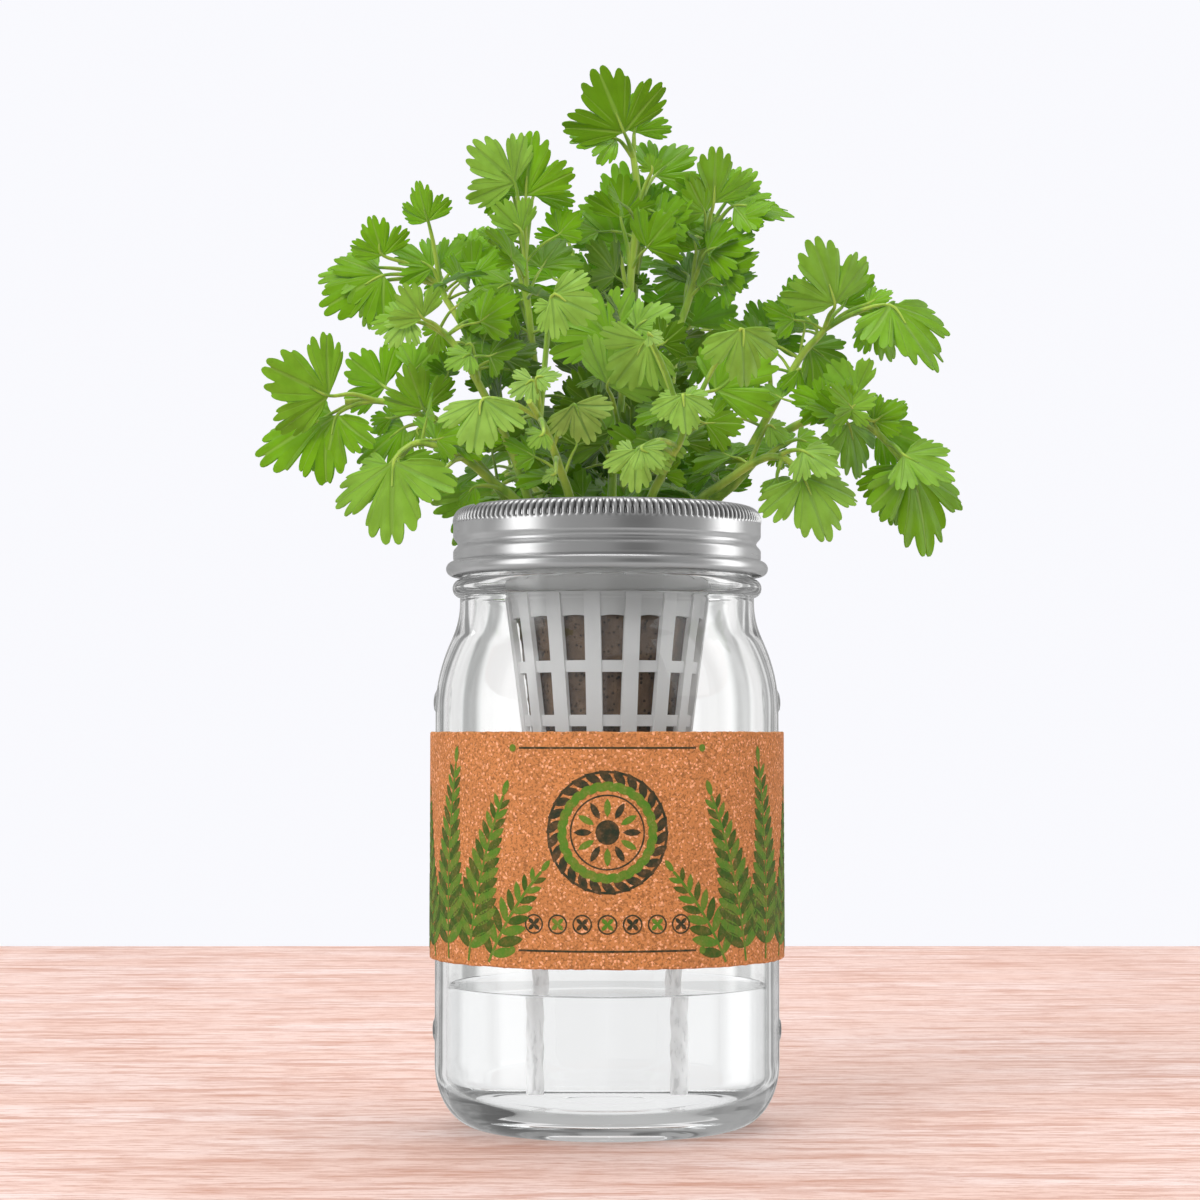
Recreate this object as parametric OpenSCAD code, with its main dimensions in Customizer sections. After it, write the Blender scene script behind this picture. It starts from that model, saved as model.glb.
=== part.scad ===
// Hydroponic jar planter: a glass jar with a screw band, a net cup that hangs from the jar's lip,
// a coir grow plug with two wicks, a cork sleeve, the water and a coriander plant.
// Millimetres, Z up. The origin is on the jar's axis, on the surface that the jar stands on.

/* [Jar] */
// Outer diameter of the body
body_d = 98; // [90:0.5:106]
// Height of the glass, to the lip
jar_h = 173.5; // [168:0.5:180]
// Diameter of the mouth
mouth_d = 76.6; // [73:0.1:80]
// Thickness of the glass at the mouth, inside the band
finish_t = 3.4; // [2.6:0.1:4]
// How far the plain neck stands out past the glass inside the band
neck_out = 0.4; // [0:0.1:0.8]
// Rounding of the lip's outer edge
lip_round = 1; // [0.5:0.1:1.2]
// Thickness of the body's wall
wall = 3.2; // [2.4:0.1:4]
// Thickness of the base at its middle
base_t = 4; // [3:0.1:5]
// Height of the hollow under the base
punt_h = 2.2; // [1:0.1:3]
// Radius of the inner edge of the ring that the jar stands on
foot_in_r = 33; // [28:0.5:34]
// Radius of the outer edge of the ring that the jar stands on
foot_out_r = 36.5; // [35.5:0.5:40]
// Height of the rounded heel
heel_h = 18; // [14:0.5:20]
// Share of the heel's height that the rounding inside takes
heel_share = 0.55; // [0.4:0.05:0.7]
// Distance of the shoulder's lower end below the lip
shoulder_drop = 55.5; // [50:0.5:60]
// Distance of the shoulder's upper end, at the neck, below the lip
neck_drop = 25.1; // [24:0.1:28]
// Share of the shoulder's height that its upper, hollow curve takes
hollow_share = 0.35; // [0.25:0.05:0.5]
// How far the bead ring under the band stands out from the neck
bead_out = 2.15; // [1.4:0.05:2.6]
// Distance of the bead ring's middle below the lip
bead_drop = 21; // [20.6:0.1:21.6]
// Height of the bead ring
bead_h = 5; // [4:0.2:5.4]
// Height of the upper pair of side nubs above the shoulder's lower end
upper_nub_up = 2.4; // [0:0.2:4]
// Height of the lower pair of side nubs
lower_nub_z = 27; // [24:0.5:32]
// How far a nub stands out
nub_out = 0.7; // [0.4:0.1:1]
// Width across a nub
nub_w = 6.3; // [5:0.1:7]

/* [Screw band] */
// Radial gap between the glass and the band's wall, which the thread takes up
band_gap = 1.9; // [1.6:0.1:2.4]
// Height of the band
band_h = 19.8; // [19:0.1:20.5]
// Thickness of the tinplate
band_t = 0.5; // [0.4:0.05:0.6]
// Width of the band's top, from the hole to the knurl
flange_w = 7.1; // [6:0.1:8]
// Radius of the rounded top corner
corner_r = 4; // [3.4:0.1:4.6]
// How far the curl at the lower edge stands out past the knurl
skirt_out = 2; // [1.6:0.1:2.6]
// Height of the curl
curl_d = 4.2; // [3.6:0.1:4.6]
// How far the wall draws in just above the curl
waist_in = 0.6; // [0.3:0.1:0.8]
// Height over which it draws in
waist_h = 1.8; // [1.2:0.1:2.2]
// Depth of the rolled groove
groove_in = 1.3; // [0.8:0.1:1.4]
// Distance of the groove's middle below the top
groove_drop = 10.7; // [10:0.1:11]
// Height of the groove
groove_w = 4.4; // [3.6:0.1:5]
// Number of flutes in the knurl
flutes = 138; // [90:6:150]
// Depth of a flute
flute_in = 0.45; // [0.3:0.05:0.6]
// Height of the flutes
flute_h = 3.1; // [2.5:0.1:3.6]
// Distance of the flutes' upper ends below the top
flute_drop = 1.4; // [1:0.1:2]

/* [Net cup] */
// Radial gap between the mouth and the cup under its rim
cup_gap = 5.9; // [5:0.1:7]
// How far the cup draws in from its rim to its floor
cup_taper = 10.9; // [9:0.1:12]
// Depth of the cup, from its rim's underside to its floor's
cup_h = 83.8; // [78:0.2:90]
// Thickness of hoops, collar and floor
cup_t = 1.3; // [1:0.1:1.5]
// Thickness of the rim that rests on the lip
rim_t = 1.2; // [1:0.1:1.4]
// Number of ribs
ribs = 16; // [12:2:20]
// Width of a rib
rib_w = 4.4; // [3.4:0.1:4.8]
// How far a rib stands proud of the hoops
rib_out = 0.5; // [0.3:0.1:0.8]
// Height of a hoop
hoop_h = 3.2; // [2.4:0.1:4]
// Height of the lowest hoop's middle above the floor's underside
first_hoop = 9.9; // [8:0.1:11]
// Distance from hoop to hoop
hoop_pitch = 14.9; // [13:0.1:15.5]
// Number of hoops
hoops = 3; // [2:1:3]
// Height of the plain collar between the windows and the rim
collar_h = 25.1; // [22:0.1:28]
// Radius of a drain hole in the floor
drain_r = 2.2; // [1.5:0.1:2.6]
// Turn of the ribs about the cup's axis
rib_turn = 3; // [0:0.5:6]

/* [Grow plug] */
// Distance of the plug's top edge below the cup's rim
plug_drop = 29.3; // [27:0.1:36]
// Radial gap between the plug and the cup's hoops
plug_gap = 1; // [0.6:0.1:1.6]
// Depth of the planting well in the plug's top
well_in = 2; // [1:0.5:3]
// Width of the edge round the planting well
well_edge = 1.8; // [1.4:0.1:2.4]
// Radius that rounds the plug's top edge
plug_round = 1.2; // [0.6:0.1:1.3]

/* [Wicks] */
// Diameter of a wick
wick_d = 5; // [4:0.1:5.6]
// Distance of each wick from the axis where it leaves the cup
wick_x = 13; // [12:0.5:14]
// Length of wick inside the plug
wick_in = 22; // [16:1:30]
// Height of a wick's lower end above the glass
wick_up = 2.8; // [1.8:0.2:8]

/* [Cork sleeve] */
// Distance of the sleeve's upper edge below the shoulder
sleeve_drop = 6.3; // [4:0.1:12]
// Height of the sleeve
sleeve_h = 64.2; // [58:0.2:68]
// Thickness of the cork
sleeve_t = 1.3; // [1:0.1:2]
// Width of the seam at the back
seam_w = 0.6; // [0.3:0.1:1.2]
// Radius that rounds the sleeve's edges
sleeve_round = 0.3; // [0.1:0.1:0.4]

/* [Water] */
// Height of the water's surface
water_z = 40.3; // [34:0.1:44]

/* [Plant] */
// Diameter of a stem at its foot
stem_d = 3.2; // [2.6:0.1:3.6]
// Diameter of a stem at its tip
tip_d = 1.9; // [1.4:0.1:2.2]
// Diameter of a leaf stalk
stalk_d = 1.3; // [1:0.1:1.6]
// Thickness at the thickest place of a leaflet
leaf_t = 1.1; // [0.8:0.1:1.6]
// Angle from a leaflet's midrib to its side edge
leaf_spread = 66; // [56:1:72]
// Teeth round a leaflet's edge
leaf_teeth = 9; // [9:3:12]
// Share of a leaflet's length by which its edge droops
leaf_droop = 0.14; // [0:0.02:0.2]

/* [Clearances] */
// Gap between pieces that rest on each other
seat = 0.3; // [0.2:0.05:0.4]
// Gap between the glass and what lies against it
skin = 0.2; // [0.1:0.05:0.3]
// Radial gap round a wick
wick_gap = 0.4; // [0.3:0.05:0.6]

/* [Hidden] */
$fn = 96;
// How far a cutter runs past the face that it cuts
past = 1;

body_r = body_d / 2;
mouth_r = mouth_d / 2;
finish_r = mouth_r + finish_t;
neck_r = finish_r + neck_out;
bead_r = neck_r + bead_out;
band_r = finish_r + band_gap + band_t;
skirt_r = band_r + skirt_out;
hole_r = band_r - flange_w;
cup_r = mouth_r - cup_gap;
cup_floor_r = cup_r - cup_taper;
wick_r = wick_d / 2;

floor_z = base_t + punt_h;
shoulder_z = jar_h - shoulder_drop;
neck_z = jar_h - neck_drop;
bead_z = jar_h - bead_drop;
upper_nub_z = shoulder_z + upper_nub_up;
sleeve_z = shoulder_z - sleeve_drop - sleeve_h;
rim_z = jar_h + seat;
rim_r = finish_r - lip_round;
band_top = rim_z + rim_t + seat + band_t;
band_z = band_top - band_h;
cup_z = rim_z - cup_h;
window_top = rim_z - collar_h;
plug_top = rim_z - plug_drop;
plug_z = cup_z + cup_t + seat;
well_z = plug_top - well_in;
root_z = well_z + seat;
sleeve_r = body_r + skin;
wick_top = plug_z + wick_in;
wick_low = floor_z + wick_up;

function unit(v) = v / norm(v);
// Points of a circular arc from angle a0 to a1, in n steps
function arc(cx, cy, r, a0, a1, n) = [for (i = [0:n]) let (a = a0 + (a1 - a0) * i / n)
    [cx + r * cos(a), cy + r * sin(a)]];
// Points of a quarter of an ellipse, or a part of one, that runs between x0 and x1 and y0 and y1
function bow(x0, x1, y0, y1, a0, a1, n) = [for (i = [0:n]) let (a = a0 + (a1 - a0) * i / n)
    [x0 + (x1 - x0) * sin(a), y0 + (y1 - y0) * cos(a)]];

// ---- Jar ----

// The shoulder: a round lower curve that runs into a hollow upper one, from radius rb to radius rn
function shoulder(rb, rn, n) =
    let (zm = neck_z - (neck_z - shoulder_z) * hollow_share,
        rm = rn + (rb - rn) * hollow_share)
    concat(
        [for (i = [0:n - 1]) let (t = i / n)
            [rb - (rb - rm) * t * t, shoulder_z + (zm - shoulder_z) * t]],
        [for (i = [0:n]) let (t = 1 - i / n)
            [rn + (rm - rn) * t * t, neck_z - (neck_z - zm) * t]]);

// The hollow of the jar, drawn in by a gap all round, up to height top
function hollow(gap, top) =
    let (r = body_r - wall - gap, f = floor_z + gap, c = heel_h * heel_share)
    concat(
        [[0, f]],
        bow(r - c, r, f + c, f, 0, 90, 8),
        top < shoulder_z ? [[r, top], [0, top]]
            : concat(shoulder(r, mouth_r, 8), [[mouth_r, top], [0, top]]));

module nub(z) {
    // A flat round cap: the sphere's radius follows from the cap's height and width
    ball = (nub_out * nub_out + nub_w * nub_w / 4) / (2 * nub_out);
    for (side = [-1, 1])
        translate([side * (body_r + nub_out - ball), 0, z])
            sphere(ball);
}

module glass_jar() color([0.86, 0.91, 0.9, 0.4])
    difference() {
        union() {
            rotate_extrude()
                polygon(concat(
                    [[0, punt_h], [foot_in_r - 3 * punt_h, punt_h], [foot_in_r, 0], [foot_out_r, 0]],
                    bow(foot_out_r, body_r, heel_h, 0, 6, 90, 10),
                    shoulder(body_r, neck_r, 8),
                    bow(neck_r, bead_r, bead_z, bead_z - bead_h / 2, 0, 90, 5),
                    bow(neck_r, bead_r, bead_z, bead_z + bead_h / 2, 90, 0, 5),
                    [[finish_r, bead_z + bead_h / 2 + (neck_r - finish_r)],
                        [finish_r, jar_h - lip_round], [rim_r, jar_h], [0, jar_h]]));
            nub(upper_nub_z);
            nub(lower_nub_z);
        }
        rotate_extrude()
            polygon(hollow(0, jar_h + past));
    }

module cork_sleeve() color([0.8, 0.56, 0.38])
    rotate([0, 0, 90 + seam_w / sleeve_r * 90 / PI])
        rotate_extrude(angle = 360 - seam_w / sleeve_r * 180 / PI)
            translate([sleeve_r, sleeve_z])
                polygon(concat(
                    [[0, 0]],
                    arc(sleeve_t - sleeve_round, sleeve_round, sleeve_round, -90, 0, 4),
                    arc(sleeve_t - sleeve_round, sleeve_h - sleeve_round, sleeve_round, 0, 90, 4),
                    [[0, sleeve_h]]));

module nutrient_water() color([0.8, 0.9, 0.95, 0.4])
    difference() {
        rotate_extrude()
            polygon(hollow(skin, water_z));
        for (side = [-1, 1])
            translate([side * wick_end[0], wick_end[1], wick_end[2] - wick_gap])
                cylinder(h = water_z, r = wick_r + wick_gap);
    }

// ---- Screw band ----

// Depth below the band's top at which its wall ends and the curl starts
wall_end = band_h - curl_d;
curl_r = curl_d / 2;
flute_mid = flute_drop + flute_h / 2;
flute_lean = asin(max(0, 1 - flute_mid / corner_r));

// Outer radius of the band's wall at depth d below its top
function band_wall(d) =
    let (g = min(1, abs(d - groove_drop) / (groove_w / 2)), w = max(0, 1 - (wall_end - d) / waist_h))
    band_r - groove_in * (1 + cos(180 * g)) / 2 - waist_in * w * w;

module screw_band() color([0.72, 0.72, 0.73]) {
    steps = 16;
    depths = [for (i = [0:steps]) corner_r + (wall_end - corner_r) * i / steps];
    difference() {
        rotate_extrude()
            polygon(concat(
                [[hole_r, band_top - band_t], [hole_r, band_top]],
                arc(band_r - corner_r, band_top - corner_r, corner_r, 90, 0, 8),
                [for (d = depths) [band_wall(d), band_top - d]],
                arc(skirt_r - curl_r, band_z + curl_r, curl_r, 100, -80, 12),
                arc(skirt_r - curl_r, band_z + curl_r, curl_r - band_t, -80, 100, 12),
                [for (i = [steps:-1:0]) [band_wall(depths[i]) - band_t, band_top - depths[i]]],
                arc(band_r - corner_r, band_top - corner_r, corner_r - band_t, 0, 90, 6)));
        for (i = [0:flutes - 1])
            rotate([0, 0, 360 * i / flutes])
                translate([band_r - corner_r * (1 - cos(flute_lean)), 0, band_top - flute_mid])
                    rotate([0, -flute_lean, 0])
                        linear_extrude(flute_h, center = true)
                            circle(flute_in, $fn = 4);
    }
}

// ---- Net cup ----

// Outer radius of the ribs at height z
function cup_at(z) = cup_floor_r + (cup_r - cup_floor_r) * (z - cup_z) / (rim_z - cup_z);

// A ring of the cup's wall between two heights
module cup_ring(z0, z1)
    rotate_extrude()
        polygon([
            [cup_at(z0) - rib_out - cup_t, z0], [cup_at(z0) - rib_out, z0],
            [cup_at(z1) - rib_out, z1], [cup_at(z1) - rib_out - cup_t, z1]]);

module cup_rib() {
    // The rib stops a little short of the hoops' inner face and runs up into the collar
    z1 = window_top + 2;
    inner = rib_out + 0.8 * cup_t;
    rotate([90, 0, 0])
        linear_extrude(rib_w, center = true)
            polygon([
                [cup_at(cup_z) - inner, cup_z], [cup_at(cup_z), cup_z],
                [cup_at(z1), z1], [cup_at(z1) - inner, z1]]);
}

module net_cup() color([0.95, 0.95, 0.95])
    difference() {
        union() {
            cup_ring(window_top, rim_z + rim_t / 2);
            for (i = [0:hoops - 1])
                let (z = cup_z + first_hoop + hoop_pitch * i)
                    cup_ring(z - hoop_h / 2, z + hoop_h / 2);
            translate([0, 0, cup_z])
                cylinder(h = cup_t, r = cup_floor_r - rib_out);
            for (i = [0:ribs - 1])
                rotate([0, 0, rib_turn + (i + 0.5) * 360 / ribs - 90])
                    cup_rib();
            translate([0, 0, rim_z])
                difference() {
                    cylinder(h = rim_t, r = rim_r);
                    translate([0, 0, -past])
                        cylinder(h = rim_t + 2 * past, r = cup_r - rib_out - cup_t);
                }
        }
        for (side = [-1, 1])
            translate([side * wick_x, 0, cup_z - past])
                cylinder(h = cup_t + 2 * past, r = wick_r + wick_gap);
        for (a = [45:90:315])
            rotate([0, 0, a])
                translate([wick_x, 0, cup_z - past])
                    cylinder(h = cup_t + 2 * past, r = drain_r);
    }

// ---- Grow plug ----

// Radius of the plug at height z
function plug_at(z) = cup_at(z) - rib_out - cup_t - plug_gap;

module grow_plug() color([0.42, 0.3, 0.2])
    difference() {
        rotate_extrude()
            polygon(concat(
                [[0, plug_z], [plug_at(plug_z) - 1, plug_z], [plug_at(plug_z + 1), plug_z + 1]],
                arc(plug_at(plug_top) - plug_round, plug_top - plug_round, plug_round, 0, 90, 4),
                [[plug_at(plug_top) - well_edge, plug_top - plug_round / 4],
                    [plug_at(plug_top) - well_edge - well_in / 2, well_z], [0, well_z]]));
        for (side = [-1, 1])
            translate([side * wick_x, 0, plug_z - past])
                cylinder(h = past + wick_in + seat, r = wick_r + wick_gap);
    }

// ---- Wicks ----

// How the right wick hangs from the cup to its lower end: how far out and down each point lies, with
// the drops as they are where the whole drop is the last one
wick_hang = [[2, 14], [5, 28], [6, 39], [6, 49], [6, 60], [6, 70], [6, 81]];

// The right wick, from its end in the plug down to its end near the jar's floor
wick_route = [for (p = concat(
    [[0, wick_top], [0, (wick_top + cup_z) / 2], [0, cup_z]],
    [for (h = wick_hang)
        [h[0], cup_z - h[1] * (cup_z - wick_low) / wick_hang[len(wick_hang) - 1][1]]]))
    [wick_x + p[0], 0, p[1]]];

wick_end = wick_route[len(wick_route) - 1];

// Points of a smooth curve through the points p, n steps to each stretch
function through(p, n) = let (m = len(p) - 1) concat(
    [for (i = [0:m - 1], j = [0:n - 1])
        let (t = j / n, a = p[max(i - 1, 0)], b = p[i], c = p[i + 1], d = p[min(i + 2, m)])
            (2 * b + (c - a) * t + (2 * a - 5 * b + 4 * c - d) * t * t
                + (3 * b - a - 3 * c + d) * t * t * t) / 2],
    [p[m]]);

// A tube of the given sides along a path, its radius running from r0 to r1
module tube(path, r0, r1, sides) {
    n = len(path);
    side = cross([0, 0, 1], path[n - 1] - path[0]);
    axis = norm(side) < 0.01 ? [0, 1, 0] : unit(side);
    rings = [for (i = [0:n - 1])
        let (t = unit(path[min(i + 1, n - 1)] - path[max(i - 1, 0)]),
            u = unit(cross(t, axis)), v = cross(t, u), r = r0 + (r1 - r0) * i / (n - 1))
        for (k = [0:sides - 1]) path[i] + r * (cos(360 * k / sides) * u + sin(360 * k / sides) * v)];
    polyhedron(rings, concat(
        [for (k = [1:sides - 2]) [0, k, k + 1]],
        [for (k = [1:sides - 2]) [0, k + 1, k] + (n - 1) * sides * [1, 1, 1]],
        [for (i = [0:n - 2], k = [0:sides - 1])
            let (a = i * sides + k, b = i * sides + (k + 1) % sides, c = [a, a + sides, b]) c],
        [for (i = [0:n - 2], k = [0:sides - 1])
            let (a = i * sides + k, b = i * sides + (k + 1) % sides) [b, a + sides, b + sides]]));
}

module wick(side) color([0.94, 0.93, 0.9])
    tube([for (p = wick_route) [side * p[0], p[1], p[2]]], wick_r, wick_r, 12);

// ---- Plant ----

// The shoots are drawn for a jar with this height to its lip and this radius of its mouth
drawn = [173.5, 38.3];
// How much larger this plant is than the drawn one
growth = mouth_r / drawn[1];

// Each shoot is [depth of its leaves, foot on the plug, points along its stem,
// leaflets as foot and tip seen from the front: x, z, x, z]
crown = [4, [4, -2],
    [[5, 0, 195], [6, 2, 221], [7, 4, 245], [9, 4, 263], [8, 4, 276], [7, 4, 280]],
    [[5, 284, -3, 302], [8, 286, 12, 299], [3, 283, -11, 284], [14, 274, 25, 285],
        [13, 273, 12, 278], [3, 253, -2, 270], [4, 260, 5, 273]]];
crown_left = [-14, [-9, -8],
    [[-18, -10, 194], [-21, -12, 219], [-23, -14, 239], [-24, -14, 258]],
    [[-26, 266, -38, 277], [-27, 265, -38, 269], [-23, 263, -22, 282], [-21, 265, -12, 275],
        [-24, 252, -32, 260], [-27, 239, -41, 234], [-26, 244, -30, 249]]];
crown_right = [12, [10, 2],
    [[17, 5, 195], [20, 9, 224], [24, 11, 238], [28, 12, 252], [31, 12, 262]],
    [[31, 265, 32, 281], [35, 267, 44, 278], [37, 265, 55, 264], [30, 265, 18, 271],
        [29, 251, 43, 255], [27, 249, 43, 244], [26, 252, 24, 261], [24, 246, 13, 252]]];
left_high = [14, [-14, 4],
    [[-27, 7, 195], [-34, 10, 214], [-42, 13, 230], [-48, 14, 240], [-50, 14, 247]],
    [[-52, 260, -56, 271], [-49, 248, -38, 258], [-51, 247, -62, 254], [-49, 246, -54, 242],
        [-65, 250, -69, 261], [-67, 248, -86, 246], [-65, 245, -84, 235], [-68, 244, -73, 231]]];
left_mid = [-26, [-13, -12],
    [[-27, -17, 191], [-36, -22, 209], [-43, -25, 220], [-50, -26, 226]],
    [[-51, 226, -57, 235], [-57, 227, -67, 226], [-55, 226, -62, 219], [-47, 225, -51, 218],
        [-38, 216, -45, 212], [-38, 220, -44, 219]]];
left_arm = [-4, [-18, -3],
    [[-31, -4, 181], [-43, -4, 195], [-53, -4, 202], [-63, -4, 206], [-75, -4, 206]],
    [[-79, 207, -97, 215], [-79, 203, -102, 190], [-77, 202, -82, 183], [-64, 211, -76, 221],
        [-52, 203, -57, 216], [-58, 199, -73, 189], [-54, 198, -53, 192], [-62, 202, -69, 203]]];
left_low = [-26, [-19, -9],
    [[-33, -18, 182.5], [-40, -23, 188], [-47, -26, 191], [-53, -26, 192], [-58, -26, 189]],
    [[-59, 186, -60, 163], [-61, 186, -71, 177], [-58, 187, -52, 175], [-58, 187, -54, 182],
        [-45, 184, -50, 178], [-37, 180, -42, 175], [-45, 189, -49, 187]]];
right_high = [10, [15, 4],
    [[34, 4, 181], [45, 7, 200], [56, 9, 220], [62, 10, 227], [66, 10, 232]],
    [[66, 235, 60, 254], [69, 236, 76, 250], [76, 236, 83, 240], [79, 235, 86, 221],
        [82, 235, 96, 216], [59, 224, 74, 215], [56, 217, 60, 207], [47, 227, 56, 238]]];
right_arm = [-6, [18, -4],
    [[36, -4, 182], [48, -6, 195], [59, -6, 201], [69, -6, 202], [78, -6, 196], [84, -6, 189]],
    [[68, 203, 76, 207], [69, 200, 74, 184], [76, 200, 85, 206], [78, 199, 92, 195],
        [84, 190, 98, 182], [84, 188, 83, 170], [86, 187, 94, 162]]];
right_low = [-28, [18, -11],
    [[35, -18, 183], [44, -24, 188], [50, -28, 187], [53, -28, 183]],
    [[54, 182, 61, 164], [53, 193, 62, 191], [47, 182, 50, 174], [48, 190, 50, 185],
        [54, 189, 64, 182], [45, 197, 52, 193]]];
front_left = [-58, [-9, -18],
    [[-13, -34, 184], [-17, -48, 194], [-21, -58, 200]],
    [[-33, 200, -36, 185], [-20, 206, -27, 202], [-19, 206, -12, 207], [-9, 200, -4, 189],
        [-17, 191, -21, 187], [-14, 181, -18, 179], [-15, 228, -2, 223], [-15, 227, -19, 220]]];
front_right = [-58, [9, -18],
    [[16, -34, 184], [20, -48, 191], [22, -58, 199]],
    [[20, 201, 21, 190], [19, 201, 13, 196], [21, 201, 27, 202], [11, 217, 1, 205],
        [11, 217, 15, 215], [36, 220, 38, 204], [8, 187, 7, 175], [7, 187, 0, 184],
        [9, 187, 15, 182]]];
front_mid = [-30, [0, -12],
    [[2, -18, 190], [4, -25, 205], [3, -30, 219]],
    [[0, 207, 9, 221], [1, 221, -12, 236], [30, 206, 46, 219], [-1, 192, -11, 201],
        [13, 194, 26, 201], [8, 224, 18, 232]]];

// How far a stem's middle stays clear of the cup where it leaves it, and how far below the lip
throat_gap = 4.6;
throat_drop = 0.5;
throat_r = cup_r - rib_out - cup_t - throat_gap;
throat_z = jar_h - throat_drop;

// A point turned about the jar's axis, with its distance from the axis scaled
function turned(p, a, k) =
    [k * (p[0] * cos(a) - p[1] * sin(a)), k * (p[0] * sin(a) + p[1] * cos(a)), p[2]];

// A drawn point of a shoot, turned and scaled outwards, in its place above the lip
function placed(p, a, k) = turned([p[0], p[1], jar_h + (p[2] - drawn[0]) * growth], a, k * growth);

// The stem's points from the plug through the cup's mouth and on
function stem_path(s, a, k) =
    let (foot = turned([s[1][0], s[1][1], root_z], a, growth),
        route = [for (p = s[2]) placed(p, a, k)],
        low = foot + [0, 0, 7],
        way = low + (route[0] - low) * (throat_z - low[2]) / (route[0][2] - low[2]),
        draw = min(1, throat_r / norm([way[0], way[1]])))
    concat([foot], through(concat(
        [foot + [0, 0, 2], low, [way[0] * draw, way[1] * draw, throat_z]], route), 2));

// Index of the point of a path that lies nearest to q
function nearest(path, q) = let (d = [for (p = path) norm(p - q)], m = min(d))
    [for (i = [0:len(d) - 1]) if (d[i] == m) i][0];

// Shares of a leaflet's length: its sides' shortfall, the notches between lobes and between teeth,
// and the place of its thickest point
leaf_round = 0.3;
lobe_in = 0.6;
tooth_in = 0.86;
heart_at = 0.2;
// Share of a tooth's pitch that its end takes
tooth_w = 0.6;

// Distance from a leaflet's foot to its edge at angle a from the midrib, as a share of its length
function reach(a) = 1 - leaf_round * pow(a / leaf_spread, 2);

// A lobed, toothed leaflet from foot to tip, whose upper side looks towards face
module leaflet(foot, tip, face) {
    size = norm(tip - foot);
    along = (tip - foot) / size;
    up = unit(face - (face * along) * along);
    across = cross(along, up);
    step = 2 * leaf_spread / leaf_teeth;
    // Angle and distance of each point of the edge
    rim = concat([[0, 0]], [for (i = [0:leaf_teeth - 1])
        let (a = -leaf_spread + (i + 0.5) * step, b = a + step / 2, t = step * tooth_w / 2)
            each concat(
                [[a - t, reach(a)], [a + t, reach(a)]],
                i < leaf_teeth - 1 ? [[b, (i % 3 == 2 ? lobe_in : tooth_in) * reach(b)]] : [])]);
    n = len(rim);
    edge = [for (p = rim) foot + size * p[1] * (cos(p[0]) * along + sin(p[0]) * across
        - leaf_droop * p[1] * up)];
    heart = foot + heart_at * size * along;
    polyhedron(
        concat(edge, [heart + leaf_t / 2 * up, heart - leaf_t / 2 * up]),
        concat(
            [for (i = [0:n - 1]) [i, (i + 1) % n, n]],
            [for (i = [0:n - 1]) [(i + 1) % n, i, n + 1]]));
}

// How the leaflets of a shoot differ, one after another: the depth of their feet, the lean of their
// tips as a share of their length, and the upward look of their faces
foot_depths = [-6, 3, -2, 7];
tip_leans = [-0.35, 0.1, -0.15, 0.3];
face_lifts = [0.3, 0.6, 0.9];

// A whole shoot, turned by a and scaled outwards by k, whose leaves look to the front or the back
module shoot(s, a = 0, k = 1, back = 1) color([0.36, 0.6, 0.16]) {
    path = stem_path(s, a, k);
    tube(path, stem_d / 2, tip_d / 2, 6);
    for (i = [0:len(s[3]) - 1])
        let (q = s[3][i], size = norm([q[2] - q[0], q[3] - q[1]]), y = s[0] + foot_depths[i % 4],
            foot = placed([q[0], y, q[1]], a, k),
            tip = placed([q[2], y + size * tip_leans[i % 4], q[3]], a, k),
            root = path[max(nearest(path, foot) - 1, 4)],
            neck = foot + heart_at * (tip - foot),
            rise = [0, 0, norm(foot - root) / 12]) {
            leaflet(foot, tip, [foot[0] / 120, -back, face_lifts[i % 3]]);
            tube([root, (root + foot) / 2 + rise, neck], stalk_d / 2, stalk_d / 3, 5);
        }
}

glass_jar();
cork_sleeve();
nutrient_water();
screw_band();
net_cup();
grow_plug();
wick(-1);  // wick_left
wick(1);  // wick_right
shoot(crown);  // shoot_crown
shoot(crown_left);  // shoot_crown_left
shoot(crown_right);  // shoot_crown_right
shoot(left_high);  // shoot_left_high
shoot(left_mid);  // shoot_left_mid
shoot(left_arm);  // shoot_left_arm
shoot(left_low);  // shoot_left_low
shoot(right_high);  // shoot_right_high
shoot(right_arm);  // shoot_right_arm
shoot(right_low);  // shoot_right_low
shoot(front_left);  // shoot_front_left
shoot(front_right);  // shoot_front_right
shoot(front_mid);  // shoot_front_mid
shoot(left_high, -65, 0.8, -1);  // shoot_back_left
shoot(right_high, 58, 0.8, -1);  // shoot_back_right
shoot(right_arm, 100, 0.7, -1);  // shoot_back_arm
shoot(left_low, -85, 0.95, -1);  // shoot_back_low
shoot(crown_left, -138, 1.05, -1);  // shoot_back_crown
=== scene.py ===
"""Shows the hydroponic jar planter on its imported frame, and the studio it is pictured in.

Finer surfaces stand in for the plain nodes: blown glass with a thread, a knurled band, a coir plug,
twisted wicks, printed cork and lobed leaves. Lengths are millimetres in the tables below and metres
in the scene. X runs to the right, Y to the back and Z up.
"""

import math
import random

import bmesh
import bpy
from bpy.props import FloatProperty, FloatVectorProperty, IntProperty, PointerProperty
from mathutils import Matrix, Vector, noise


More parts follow.
